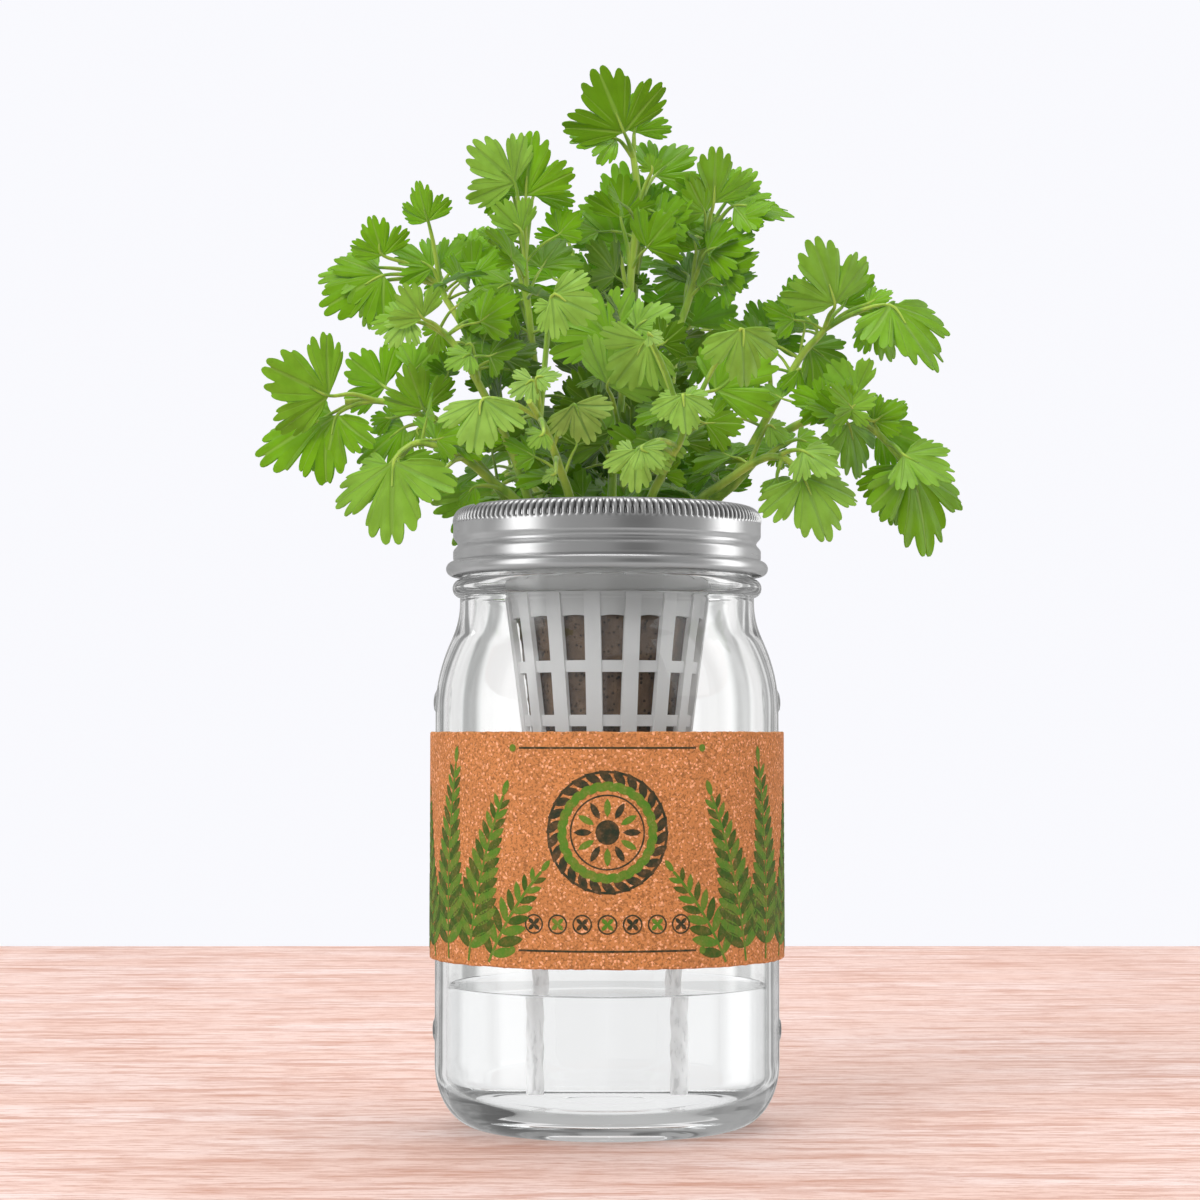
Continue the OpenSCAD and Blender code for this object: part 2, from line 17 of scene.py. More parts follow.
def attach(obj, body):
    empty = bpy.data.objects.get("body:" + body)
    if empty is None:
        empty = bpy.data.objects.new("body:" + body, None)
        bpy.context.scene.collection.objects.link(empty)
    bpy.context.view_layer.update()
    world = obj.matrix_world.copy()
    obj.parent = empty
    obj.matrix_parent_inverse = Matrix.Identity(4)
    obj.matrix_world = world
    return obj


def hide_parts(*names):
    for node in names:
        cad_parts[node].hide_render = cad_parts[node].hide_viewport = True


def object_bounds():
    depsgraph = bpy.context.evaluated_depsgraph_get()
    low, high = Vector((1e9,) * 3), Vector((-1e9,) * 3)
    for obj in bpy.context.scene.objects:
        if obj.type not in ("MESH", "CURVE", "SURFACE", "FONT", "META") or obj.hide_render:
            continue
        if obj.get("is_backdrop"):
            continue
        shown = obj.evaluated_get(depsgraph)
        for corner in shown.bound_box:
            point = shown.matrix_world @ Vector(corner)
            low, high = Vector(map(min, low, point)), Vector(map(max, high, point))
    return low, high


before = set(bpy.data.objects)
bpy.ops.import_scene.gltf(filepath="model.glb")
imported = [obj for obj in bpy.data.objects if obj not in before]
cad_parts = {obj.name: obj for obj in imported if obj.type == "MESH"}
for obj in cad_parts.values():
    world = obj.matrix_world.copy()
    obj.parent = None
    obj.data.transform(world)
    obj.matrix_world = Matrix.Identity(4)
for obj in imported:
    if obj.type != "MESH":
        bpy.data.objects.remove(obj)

bl_info = {
    "name": "Jar Planter",
    "version": (1, 0, 0),
    "blender": (4, 2, 0),
    "location": "3D View > Sidebar > Planter",
    "description": "Builds a hydroponic jar planter and its studio",
    "category": "Object",
}

MM = 0.001

# ---- The jar planter's sizes in millimetres, as in the part's source ----

BODY_R = 49.0
WALL = 3.2
HEEL_H = 18.0
SHOULDER_Z = 118.0
NECK_Z = 148.4
NECK_R = 42.1
MOUTH_R = 38.3
BEAD_R = 44.25
BEAD_Z = 152.5
BEAD_H = 5.0
FINISH_R = 41.7
FINISH_Z = 155.5
LIP_Z = 172.0
JAR_H = 173.5
FLOOR_Z = 6.2
HOLLOW_SHARE = 0.35

BAND_TOP = 175.8
BAND_Z = 156.0
BAND_R = 44.1
BAND_T = 0.5
HOLE_R = 37.0
CORNER_R = 4.0
SKIRT_R = 46.1
CURL_R = 2.1

WATER_Z = 40.3
SLEEVE_Z = 47.5
SLEEVE_H = 64.2
SLEEVE_R = 49.2
SLEEVE_T = 1.3

CUP_Z = 90.0
CUP_R = 32.4
CUP_FLOOR_R = 21.5
RIM_Z = 173.8
PLUG_Z = 91.6
PLUG_TOP = 144.5
ROOT_Z = 142.8
THROAT_R = 26.0
THROAT_Z = 173.0

# Finer sizes, for the surfaces that stand in for the plain ones
BASE_UNDER = [
    (0, 2.0), (6, 2.0), (11, 2.05), (12.6, 1.6), (14, 2.05), (20, 2.1), (26, 2.1), (28.5, 1.9),
    (31, 1.1), (32.6, 0.3), (33.4, 0.03), (34.5, 0), (35.6, 0.03),
]
BASE_INSIDE = [
    (33, 5.2), (31, 6.2), (30, 6.2), (28, 5.0), (22, 4.9), (14.5, 5.1), (12.9, 6.1), (12.1, 6.1),
    (10.5, 5.3), (5, 5.3), (0, 5.5),
]
HEEL_IN = HEEL_H * 0.55
RIPPLE_Z = 158.0
NUB_R = 3.15
NUB_HEIGHTS = (27.0, 120.4)
THREAD_STARTS = (158.6, 164.6)
THREAD_RISE = 3.2
THREAD_HALF = 1.5
WATER_GAP = 0.25
SEAM_W = 0.6
GROOVE_DEPTH = 10.7
WALL_DEPTH = 16.2
SLOT_STEPS = 6
KNURL_TOP = 0.25
KNURL_LOW = 5.0
COLLAR_LOW = 143.0
COLLAR_TOP = 149.0
SCALLOP_Z = 142.9
CUP_LOBES = 8
CUP_PHASE = 1.152
PLUG_DISH_Z = 142.4
WAVES_Z = 120.0
WICK_STEPS = 14
PRINT_R = SLEEVE_R + SLEEVE_T + 0.05
WREATH_Z = 84.5
RULE_HEIGHTS = (107.2, 52.6)
RINGS_Z = 59.8
FRONDS_Z = 49.0

# Each frond of the print: place round the sleeve, lean in degrees, height
FRONDS = ((35, -26, 30), (43, -8, 47), (53, 4, 54), (63, 18, 44), (72, 30, 30))

# The right wick's centreline, from its end in the plug down to its end near the floor
WICK_X = 13.0
WICK_ROUTE = [
    (0, 113.6), (0, 101.8), (0, 90), (2, 76), (5, 62), (6, 51), (6, 41), (6, 30), (6, 20), (6, 9),
]

# Each shoot is (depth of its leaves, foot on the plug, points along its stem, leaflets as foot and
# tip seen from the front: x, z, x, z)
CROWN = (4, (4, -2),
    [(5, 0, 195), (6, 2, 221), (7, 4, 245), (9, 4, 263), (8, 4, 276), (7, 4, 280)],
    [(5, 284, -3, 302), (8, 286, 12, 299), (3, 283, -11, 284), (14, 274, 25, 285),
        (13, 273, 12, 278), (3, 253, -2, 270), (4, 260, 5, 273)])
CROWN_LEFT = (-14, (-9, -8),
    [(-18, -10, 194), (-21, -12, 219), (-23, -14, 239), (-24, -14, 258)],
    [(-26, 266, -38, 277), (-27, 265, -38, 269), (-23, 263, -22, 282), (-21, 265, -12, 275),
        (-24, 252, -32, 260), (-27, 239, -41, 234), (-26, 244, -30, 249)])
CROWN_RIGHT = (12, (10, 2),
    [(17, 5, 195), (20, 9, 224), (24, 11, 238), (28, 12, 252), (31, 12, 262)],
    [(31, 265, 32, 281), (35, 267, 44, 278), (37, 265, 55, 264), (30, 265, 18, 271),
        (29, 251, 43, 255), (27, 249, 43, 244), (26, 252, 24, 261), (24, 246, 13, 252)])
LEFT_HIGH = (14, (-14, 4),
    [(-27, 7, 195), (-34, 10, 214), (-42, 13, 230), (-48, 14, 240), (-50, 14, 247)],
    [(-52, 260, -56, 271), (-49, 248, -38, 258), (-51, 247, -62, 254), (-49, 246, -54, 242),
        (-65, 250, -69, 261), (-67, 248, -86, 246), (-65, 245, -84, 235), (-68, 244, -73, 231)])
LEFT_MID = (-26, (-13, -12),
    [(-27, -17, 191), (-36, -22, 209), (-43, -25, 220), (-50, -26, 226)],
    [(-51, 226, -57, 235), (-57, 227, -67, 226), (-55, 226, -62, 219), (-47, 225, -51, 218),
        (-38, 216, -45, 212), (-38, 220, -44, 219)])
LEFT_ARM = (-4, (-18, -3),
    [(-31, -4, 181), (-43, -4, 195), (-53, -4, 202), (-63, -4, 206), (-75, -4, 206)],
    [(-79, 207, -97, 215), (-79, 203, -102, 190), (-77, 202, -82, 183), (-64, 211, -76, 221),
        (-52, 203, -57, 216), (-58, 199, -73, 189), (-54, 198, -53, 192), (-62, 202, -69, 203)])
LEFT_LOW = (-26, (-19, -9),
    [(-33, -18, 182.5), (-40, -23, 188), (-47, -26, 191), (-53, -26, 192), (-58, -26, 189)],
    [(-59, 186, -60, 163), (-61, 186, -71, 177), (-58, 187, -52, 175), (-58, 187, -54, 182),
        (-45, 184, -50, 178), (-37, 180, -42, 175), (-45, 189, -49, 187)])
RIGHT_HIGH = (10, (15, 4),
    [(34, 4, 181), (45, 7, 200), (56, 9, 220), (62, 10, 227), (66, 10, 232)],
    [(66, 235, 60, 254), (69, 236, 76, 250), (76, 236, 83, 240), (79, 235, 86, 221),
        (82, 235, 96, 216), (59, 224, 74, 215), (56, 217, 60, 207), (47, 227, 56, 238)])
RIGHT_ARM = (-6, (18, -4),
    [(36, -4, 182), (48, -6, 195), (59, -6, 201), (69, -6, 202), (78, -6, 196), (84, -6, 189)],
    [(68, 203, 76, 207), (69, 200, 74, 184), (76, 200, 85, 206), (78, 199, 92, 195),
        (84, 190, 98, 182), (84, 188, 83, 170), (86, 187, 94, 162)])
RIGHT_LOW = (-28, (18, -11),
    [(35, -18, 183), (44, -24, 188), (50, -28, 187), (53, -28, 183)],
    [(54, 182, 61, 164), (53, 193, 62, 191), (47, 182, 50, 174), (48, 190, 50, 185),
        (54, 189, 64, 182), (45, 197, 52, 193)])
FRONT_LEFT = (-58, (-9, -18),
    [(-13, -34, 184), (-17, -48, 194), (-21, -58, 200)],
    [(-33, 200, -36, 185), (-20, 206, -27, 202), (-19, 206, -12, 207), (-9, 200, -4, 189),
        (-17, 191, -21, 187), (-14, 181, -18, 179), (-15, 228, -2, 223), (-15, 227, -19, 220)])
FRONT_RIGHT = (-58, (9, -18),
    [(16, -34, 184), (20, -48, 191), (22, -58, 199)],
    [(20, 201, 21, 190), (19, 201, 13, 196), (21, 201, 27, 202), (11, 217, 1, 205),
        (11, 217, 15, 215), (36, 220, 38, 204), (8, 187, 7, 175), (7, 187, 0, 184),
        (9, 187, 15, 182)])
FRONT_MID = (-30, (0, -12),
    [(2, -18, 190), (4, -25, 205), (3, -30, 219)],
    [(0, 207, 9, 221), (1, 221, -12, 236), (30, 206, 46, 219), (-1, 192, -11, 201),
        (13, 194, 26, 201), (8, 224, 18, 232)])

# Node: (shoot, turn in degrees, scale outwards, 1 if it faces the front, small inner leaves)
SHOOTS = {
    "shoot_crown": (CROWN, 0, 1, 1, 16),
    "shoot_crown_left": (CROWN_LEFT, 0, 1, 1, 18),
    "shoot_crown_right": (CROWN_RIGHT, 0, 1, 1, 22),
    "shoot_left_high": (LEFT_HIGH, 0, 1, 1, 20),
    "shoot_left_mid": (LEFT_MID, 0, 1, 1, 16),
    "shoot_left_arm": (LEFT_ARM, 0, 1, 1, 7),
    "shoot_left_low": (LEFT_LOW, 0, 1, 1, 5),
    "shoot_right_high": (RIGHT_HIGH, 0, 1, 1, 14),
    "shoot_right_arm": (RIGHT_ARM, 0, 1, 1, 7),
    "shoot_right_low": (RIGHT_LOW, 0, 1, 1, 7),
    "shoot_front_left": (FRONT_LEFT, 0, 1, 1, 10),
    "shoot_front_right": (FRONT_RIGHT, 0, 1, 1, 10),
    "shoot_front_mid": (FRONT_MID, 0, 1, 1, 18),
    "shoot_back_left": (LEFT_HIGH, -65, 0.8, -1, 14),
    "shoot_back_right": (RIGHT_HIGH, 58, 0.8, -1, 14),
    "shoot_back_arm": (RIGHT_ARM, 100, 0.7, -1, 12),
    "shoot_back_low": (LEFT_LOW, -85, 0.95, -1, 10),
    "shoot_back_crown": (CROWN_LEFT, -138, 1.05, -1, 14),
}

# The depths of the lobes and of the parts of each kind of leaf, of which the last two are small
LEAF_SHAPES = ((0.52, 0.2), (0.44, 0.24), (0.58, 0.18), (0.5, 0.22), (0.55, 0.2))

# How the leaflets of a shoot differ, one after another
FOOT_DEPTHS = (-6, 3, -2, 7)
TIP_LEANS = (-0.35, 0.1, -0.15, 0.3)
FACE_LIFTS = (0.3, 0.6, 0.9)
LEAF_SPREAD = math.radians(66)

# The stem's radius at its foot and how much of it is lost by its tip, and the heights of the small
# inner leaves and the middle round which they are darkened as painted shade
STEM_R = 1.7
STEM_LOSS = 0.85
INNER_LOW = 180
INNER_HIGH = 272
INNER_REACH = 34
SHADE_HEART_Z = 215
SHADE_HEART_R = 62
LEAF_SIZE = 18
BOX_GAP = 0.0002

# ---- The studio in metres ----

CAMERA_PLACE = (-0.002, -0.845, 0.1104)
CAMERA_TILT = 92.64
CAMERA_LENS = 88.5
TABLE_HALF = (2.5, 1.2)
TABLE_BACK = 0.713

# Name, place, target, width and height, watts
LIGHTS = (
    ("key_light", (-0.7, -0.9, 1.1), (0, 0, 0.2), (0.9, 0.9), 13),
    ("fill_light", (0.9, -0.5, 0.7), (0, 0, 0.15), (0.6, 0.9), 2.5),
    ("top_light", (0.1, 0.3, 1.4), (0, 0, 0.2), (1.0, 1.0), 7.5),
    ("back_light", (0, 0.8, 0.8), (0, 0.5, 0), (1.6, 0.5), 4),
)

# Cards round the jar: name, degrees round it from the front, width, shade, shade at the edges
CARD_R = 0.75
CARD_Z = 0.25
CARDS = (
    ("left_softbox", -64, 0.45, 2.1, 0.36),
    ("right_softbox", 98, 0.5, 2.15, 0.36),
    ("front_flag", 22, 0.6, 0.18, 0.4),
    ("left_flag", -118, 0.34, 0.45, 0.95),
    ("left_back_flag", -150, 0.18, 0.3, 0.95),
    ("left_edge_flag", -168, 0.07, 0.4, 0.95),
    ("right_flag", 136, 0.2, 0.45, 0.95),
    ("right_back_flag", 150, 0.18, 0.3, 0.95),
    ("right_edge_flag", 168, 0.07, 0.4, 0.95),
)

# Cards over and under the jar: name, place, target, width and depth, shade, shade at the edges
LEVEL_CARDS = (
    ("top_softbox", (0, 0.08, 1.0), (0, 0.08, 0.2), (0.7, 0.5), 2.8, 0.6),
    ("low_flag", (0, 0, -0.2), (0, 0.0001, 0.2), (1.1, 1.1), 0.5, 0.7),
)


# ---- What a user may change ----


def colour(name, text, value):
    """A colour that a user may change."""
    return FloatVectorProperty(
        name=name, description=text, subtype="COLOR", size=4, min=0, max=1, default=(*value, 1)
    )


def length(name, text, value):
    """A length in metres that a user may change."""
    return FloatProperty(
        name=name, description=text, subtype="DISTANCE", unit="LENGTH", precision=5, min=0,
        default=value,
    )


class PlanterSizes(bpy.types.PropertyGroup):
    """The planter's sizes that a user may change"""

    thread_out: length("Thread", "How far the thread stands out of the jar's neck", 0.001)
    nub_out: length("Nubs", "How far the four small marks stand out of the jar's sides", 0.0007)
    slot_in: length("Knurl", "Depth of the slots round the band's upper corner", 0.0007)
    slots: IntProperty(
        name="Slots", description="Slots round the band", default=138, min=24, max=240
    )
    pit_in: length("Coir", "Roughness of the plug's sides", 0.0007)
    wick_d: length("Wick", "Diameter of a wick", 0.005)
    blade_t: length("Blade", "Thickness of a leaf", 0.0003)
    seed: IntProperty(
        name="Seed", description="Changes the small inner leaves", default=7, min=0, max=999
    )


class PlanterColours(bpy.types.PropertyGroup):
    """The planter's colours that a user may change"""

    leaf: colour("Leaf", "Leaves in full light", (0.225, 0.48, 0.002))
    # Painted light: the paler colour of leaves that face the front
    painted_lit_leaf: colour("Pale leaf", "Leaves that face the front", (0.46, 0.66, 0.17))
    stem: colour("Stem", "Stems and leaf stalks", (0.4, 0.58, 0.07))
    cork: colour("Cork", "The sleeve", (0.68, 0.285, 0.1))
    coir: colour("Coir", "The grow plug", (0.125, 0.08, 0.05))
    metal: colour("Metal", "The screw band", (0.66, 0.66, 0.66))
    plastic: colour("Plastic", "The net cup", (0.88, 0.875, 0.875))
    wick: colour("Wick", "The wicks", (0.95, 0.94, 0.94))
    dark_print: colour("Dark print", "The darker ink on the cork", (0.016, 0.035, 0.02))
    deep_print: colour("Deep print", "The deeper green ink on the cork", (0.03, 0.11, 0.01))
    green_print: colour("Green print", "The brighter ink on the cork", (0.085, 0.24, 0.02))
    floor: colour("Floor", "The table top", (0.83, 0.6, 0.53))


# ---- Meshes ----


def arc(cx, cy, r, a0, a1, n):
    """Points of a circular arc from a0 to a1 degrees, in n steps."""
    angles = [math.radians(a0 + (a1 - a0) * i / n) for i in range(n + 1)]
    return [(cx + r * math.cos(a), cy + r * math.sin(a)) for a in angles]


def bow(x0, x1, y0, y1, a0, a1, n):
    """Points of a part of an ellipse between x0 and x1 and y0 and y1."""
    angles = [math.radians(a0 + (a1 - a0) * i / n) for i in range(n + 1)]
    return [(x0 + (x1 - x0) * math.sin(a), y0 + (y1 - y0) * math.cos(a)) for a in angles]


def shoulder(rb, rn, n):
    """The jar's shoulder: a round lower curve that runs into a hollow upper one."""
    zm = NECK_Z - (NECK_Z - SHOULDER_Z) * HOLLOW_SHARE
    rm = rn + (rb - rn) * HOLLOW_SHARE
    low = [(rb - (rb - rm) * t * t, SHOULDER_Z + (zm - SHOULDER_Z) * t)
        for t in (i / n for i in range(n))]
    high = [(rn + (rm - rn) * t * t, NECK_Z - (NECK_Z - zm) * t)
        for t in (1 - i / n for i in range(n + 1))]
    return low + high


def upright(r, z0, z1, step):
    """Points up or down a straight wall, without its ends."""
    n = max(2, round(abs(z1 - z0) / step))
    return [(r, z0 + (z1 - z0) * i / n) for i in range(1, n)]


def moved_out(x, y, z, out):
    """A point in millimetres moved out from the jar's axis, in metres."""
    grow = 1 + out / math.hypot(x, y)
    return Vector((x * grow, y * grow, z)) * MM


def turned_piece(profile, steps, turn=2 * math.pi):
    """A mesh of a profile of radii and heights in millimetres, spun about the jar's axis."""
    bm = bmesh.new()
    verts = [bm.verts.new((0, -r * MM, z * MM)) for r, z in profile]
    edges = [bm.edges.new(pair) for pair in zip(verts, verts[1:] + verts[:1])]
    # A short spin is copied on round the axis, which is quicker than a long one
    copies = 0
    while steps % 2 == 0 and steps > 8:
        steps //= 2
        copies += 1
    part = turn / 2 ** copies
    bmesh.ops.spin(
        bm, geom=verts + edges, cent=(0, 0, 0), axis=(0, 0, 1), angle=part, steps=steps
    )
    for i in range(copies):
        whole = bm.verts[:] + bm.edges[:] + bm.faces[:]
        copy = bmesh.ops.duplicate(bm, geom=whole)["geom"]
        bmesh.ops.rotate(
            bm, cent=(0, 0, 0), matrix=Matrix.Rotation(part * 2 ** i, 3, "Z"),
            verts=[g for g in copy if isinstance(g, bmesh.types.BMVert)],
        )
    bmesh.ops.remove_doubles(bm, verts=bm.verts, dist=1e-6)
    if turn < 2 * math.pi:
        bmesh.ops.holes_fill(bm, edges=[e for e in bm.edges if e.is_boundary], sides=0)
    bmesh.ops.recalc_face_normals(bm, faces=bm.faces)
    return bm


def frames_along(points, radii):
    """A matrix at each point of a path, whose Z runs along it and whose scale is the radius."""
    made = []
    side = Vector((0, 0, 1)).cross(points[-1] - points[0])
    if side.length < 1e-4:
        side = Vector((1, 0, 0))
    for i, p in enumerate(points):
        way = (points[min(i + 1, len(points) - 1)] - points[max(i - 1, 0)]).normalized()
        side = (side - side.dot(way) * way).normalized()
        turn = Matrix((side, way.cross(side), way)).transposed().to_4x4()
        made.append(Matrix.Translation(p) @ turn @ Matrix.Scale(radii[i], 4))
    return made


def drawn_out(bm, edges):
    """Draws edges out into a strip, and returns the strip's new vertices and edges."""
    made = bmesh.ops.extrude_edge_only(bm, edges=edges)["geom"]
    verts = [g for g in made if isinstance(g, bmesh.types.BMVert)]
    fresh = set(verts)
    edges = [g for g in made if isinstance(g, bmesh.types.BMEdge)]
    return verts, [e for e in edges if fresh.issuperset(e.verts)]


def add_bar(bm, points, radii, sides):
    """Adds a round bar, a disc drawn out from point to point, and returns its rings."""
    places = frames_along(points, radii)
    ring = bmesh.ops.create_circle(
        bm, cap_ends=True, segments=sides, radius=1, matrix=places[0]
    )["verts"]
    face = ring[0].link_faces[0]
    face.normal_flip()
    edges = list(face.edges)
    rings = [ring]
    for low, high in zip(places, places[1:]):
        ring, edges = drawn_out(bm, edges)
        bmesh.ops.transform(bm, matrix=high @ low.inverted(), verts=ring)
        rings.append(ring)
    bmesh.ops.edgenet_fill(bm, edges=edges)
    return rings


def smooth_path(points, n):
    """A smooth curve through the points, n steps to each stretch."""
    made = []
    for i in range(len(points) - 1):
        a = points[max(i - 1, 0)]
        b, c = points[i], points[i + 1]
        d = points[min(i + 2, len(points) - 1)]
        for k in range(n):
            t = k / n
            made.append(
                0.5 * (2 * b + (c - a) * t + (2 * a - 5 * b + 4 * c - d) * t * t
                    + (3 * b - 3 * c + d - a) * t * t * t)
            )
    return made + [points[-1]]


def mesh_of(name, bm):
    """Turns a bmesh into a mesh and frees it."""
    mesh = bpy.data.meshes.new(name)
    bm.to_mesh(mesh)
    bm.free()
    return mesh


def linked(name, data):
    """A new object of the data, in the scene."""
    obj = bpy.data.objects.new(name, data)
    bpy.context.scene.collection.objects.link(obj)
    return obj


def add_piece(name, bm, body, nodes, slot, *materials, sharp=35):
    """Makes an object of a mesh, which rides on a body and stands in for nodes."""
    mesh = mesh_of(name, bm)
    for m in materials:
        mesh.materials.append(m)
    for p in mesh.polygons:
        p.use_smooth = True
    mesh.set_sharp_from_angle(angle=math.radians(sharp))
    obj = linked(name, mesh)
    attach(obj, body)
    if nodes:
        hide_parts(*nodes)
    return obj


# ---- Materials ----


def add(tree, kind, sockets=None, **settings):
    """Adds a shader node. A socket's value is a constant or the socket that feeds it."""
    made = tree.nodes.new(kind)
    for key, value in settings.items():
        setattr(made, key, value)
    for key, value in (sockets or {}).items():
        if isinstance(value, bpy.types.NodeSocket):
            tree.links.new(value, made.inputs[key])
        else:
            made.inputs[key].default_value = value
    return made


def maths(tree, operation, a, b=0.0, c=0.0):
    """The result socket of a maths node."""
    return add(tree, "ShaderNodeMath", {0: a, 1: b, 2: c}, operation=operation).outputs[0]


def fade(tree, value, low, high, most=1.0):
    """A socket that runs smoothly from 0 at low to most at high."""
    return add(
        tree, "ShaderNodeMapRange",
        {"Value": value, "From Min": low, "From Max": high, "To Max": most},
        interpolation_type="SMOOTHSTEP",
    ).outputs[0]


def blended(tree, share, a, b):
    """The shader socket of a mix of two shaders."""
    return add(tree, "ShaderNodeMixShader", {0: share, 1: a, 2: b}).outputs[0]


def scaled(tint, share):
    """A share of a colour's light, opaque."""
    return tuple(x * share for x in tint[:3]) + (1,)


def mixed(tree, share, a, b, blend="MIX"):
    """The colour socket of a mix of two colours."""
    made = add(tree, "ShaderNodeMix", {0: share, 6: a, 7: b}, data_type="RGBA", blend_type=blend)
    return made.outputs[2]


def grain(tree, scale, detail=2.0, stretch=(1, 1, 1), rough=0.5):
    """A noise socket in the object's own coordinates."""
    place = add(tree, "ShaderNodeTexCoord").outputs["Object"]
    place = add(
        tree, "ShaderNodeVectorMath", {0: place, 1: stretch}, operation="MULTIPLY"
    ).outputs[0]
    return add(
        tree, "ShaderNodeTexNoise",
        {"Vector": place, "Scale": scale, "Detail": detail, "Roughness": rough},
    ).outputs["Fac"]


def bumped(tree, height, strength, distance):
    """The normal socket of a bump."""
    return add(
        tree, "ShaderNodeBump",
        {"Height": height, "Strength": strength, "Distance": distance},
    ).outputs[0]


def new_tree(name):
    """A new material and its empty tree."""
    made = bpy.data.materials.new(name)
    made.use_nodes = True
    made.node_tree.nodes.clear()
    return made, made.node_tree


def finish_tree(tree, shader):
    """Feeds a shader to the material's surface."""
    add(tree, "ShaderNodeOutputMaterial", {"Surface": shader})


def plain(tree, sockets):
    """The shader socket of a principled shader."""
    return add(tree, "ShaderNodeBsdfPrincipled", sockets).outputs[0]


def clear_material(name, tint, ior, shade):
    """A clear material that lets most light through to what lies behind it."""
    made, tree = new_tree(name)
    waves = grain(tree, 26, 1.0, (1, 1, 0.6))
    body = plain(tree, {
        "Base Color": (*tint, 1), "Roughness": 0.0, "IOR": ior, "Transmission Weight": 1.0,
        "Normal": bumped(tree, waves, 0.12, 0.002),
    })
    open_ = add(tree, "ShaderNodeBsdfTransparent", {"Color": (*shade, 1)}).outputs[0]
    path = add(tree, "ShaderNodeLightPath").outputs
    # Light that bounces about inside for long ends in a painted grey glow with painted streaks, not
    # real light
    deep = maths(tree, "MAXIMUM", maths(tree, "GREATER_THAN", path["Ray Depth"], 8.5),
        maths(tree, "GREATER_THAN", path["Glossy Depth"], 2.5))
    streak = fade(tree, grain(tree, 45, 3.0, (1, 1, 4)), 0.35, 0.65)
    painted_glow = mixed(tree, streak, (0.1, 0.1, 0.1, 1), (0.34, 0.34, 0.34, 1))
    painted_glow = add(tree, "ShaderNodeEmission", {"Color": painted_glow}).outputs[0]
    body = blended(tree, deep, body, painted_glow)
    finish_tree(tree, blended(tree, path["Is Shadow Ray"], body, open_))
    return made


def cork_colour(tree, colours):
    """The colour and height of pressed cork: fine grains with dark and light flecks."""
    place = add(tree, "ShaderNodeTexCoord").outputs["Object"]
    bits = add(tree, "ShaderNodeTexVoronoi", {"Vector": place, "Scale": 1900.0})
    rnd = add(tree, "ShaderNodeSeparateColor", {0: bits.outputs["Color"]}).outputs[0]
    broad = grain(tree, 90, 3.0)
    fine = grain(tree, 1400, 2.0, (1, 1, 1), 0.7)
    cork = tuple(colours.cork)
    dark = scaled(cork, 0.52)
    light = tuple(min(1, x * 1.2 + 0.16) for x in cork[:3]) + (1,)
    base = mixed(tree, fade(tree, broad, 0.35, 0.65), scaled(cork, 0.9), cork)
    base = mixed(tree, fade(tree, fine, 0.52, 0.36), base, dark)
    base = mixed(tree, fade(tree, rnd, 0.84, 0.98), base, light)
    base = mixed(tree, fade(tree, rnd, 0.14, 0.04, 0.6), base, dark)
    return base, fine


def cork_material(colours):
    """Pressed cork, rough and dull."""
    made, tree = new_tree("cork")
    base, height = cork_colour(tree, colours)
    finish_tree(tree, plain(tree, {
        "Base Color": base, "Roughness": 0.85, "Specular IOR Level": 0.2,
        "Normal": bumped(tree, height, 0.5, 0.0003),
    }))
    return made


def print_material(name, ink, colours):
    """Ink on cork, through which a little of the cork's grain shows."""
    made, tree = new_tree(name)
    base, height = cork_colour(tree, colours)
    patch = fade(tree, grain(tree, 420, 3.0), 0.3, 0.75)
    share = maths(tree, "MULTIPLY_ADD", patch, 0.16, 0.02)
    finish_tree(tree, plain(tree, {
        "Base Color": mixed(tree, share, tuple(ink), base), "Roughness": 0.7,
        "Specular IOR Level": 0.25, "Normal": bumped(tree, height, 0.4, 0.0003),
    }))
    return made


def metal_material(colours):
    """Brushed tinplate, with painted shade down in the slots of the knurl."""
    made, tree = new_tree("tinplate")
    brushed = grain(tree, 40, 3.0, (1, 1, 40))
    slot_shade = add(tree, "ShaderNodeAttribute", attribute_name="slot_shade").outputs["Fac"]
    metal = tuple(colours.metal)
    finish_tree(tree, plain(tree, {
        # Painted shade darkens the metal down in the slots
        "Base Color": mixed(tree, slot_shade, metal, scaled(metal, 0.16)),
        "Metallic": 1.0,
        "Roughness": maths(tree, "MULTIPLY_ADD", brushed, 0.14, 0.23),
        "Normal": bumped(tree, brushed, 0.06, 0.0002),
    }))
    return made


def plastic_material(colours, shade):
    """Moulded plastic that lets some light through."""
    made, tree = new_tree("white_plastic")
    cloud = grain(tree, 60, 2.0)
    body = plain(tree, {
        "Base Color": scaled(colours.plastic, shade), "IOR": 1.49,
        "Roughness": maths(tree, "MULTIPLY_ADD", cloud, 0.1, 0.35),
    })
    through = add(tree, "ShaderNodeBsdfTranslucent", {"Color": (0.85, 0.85, 0.85, 1)}).outputs[0]
    finish_tree(tree, blended(tree, 0.25, body, through))
    return made


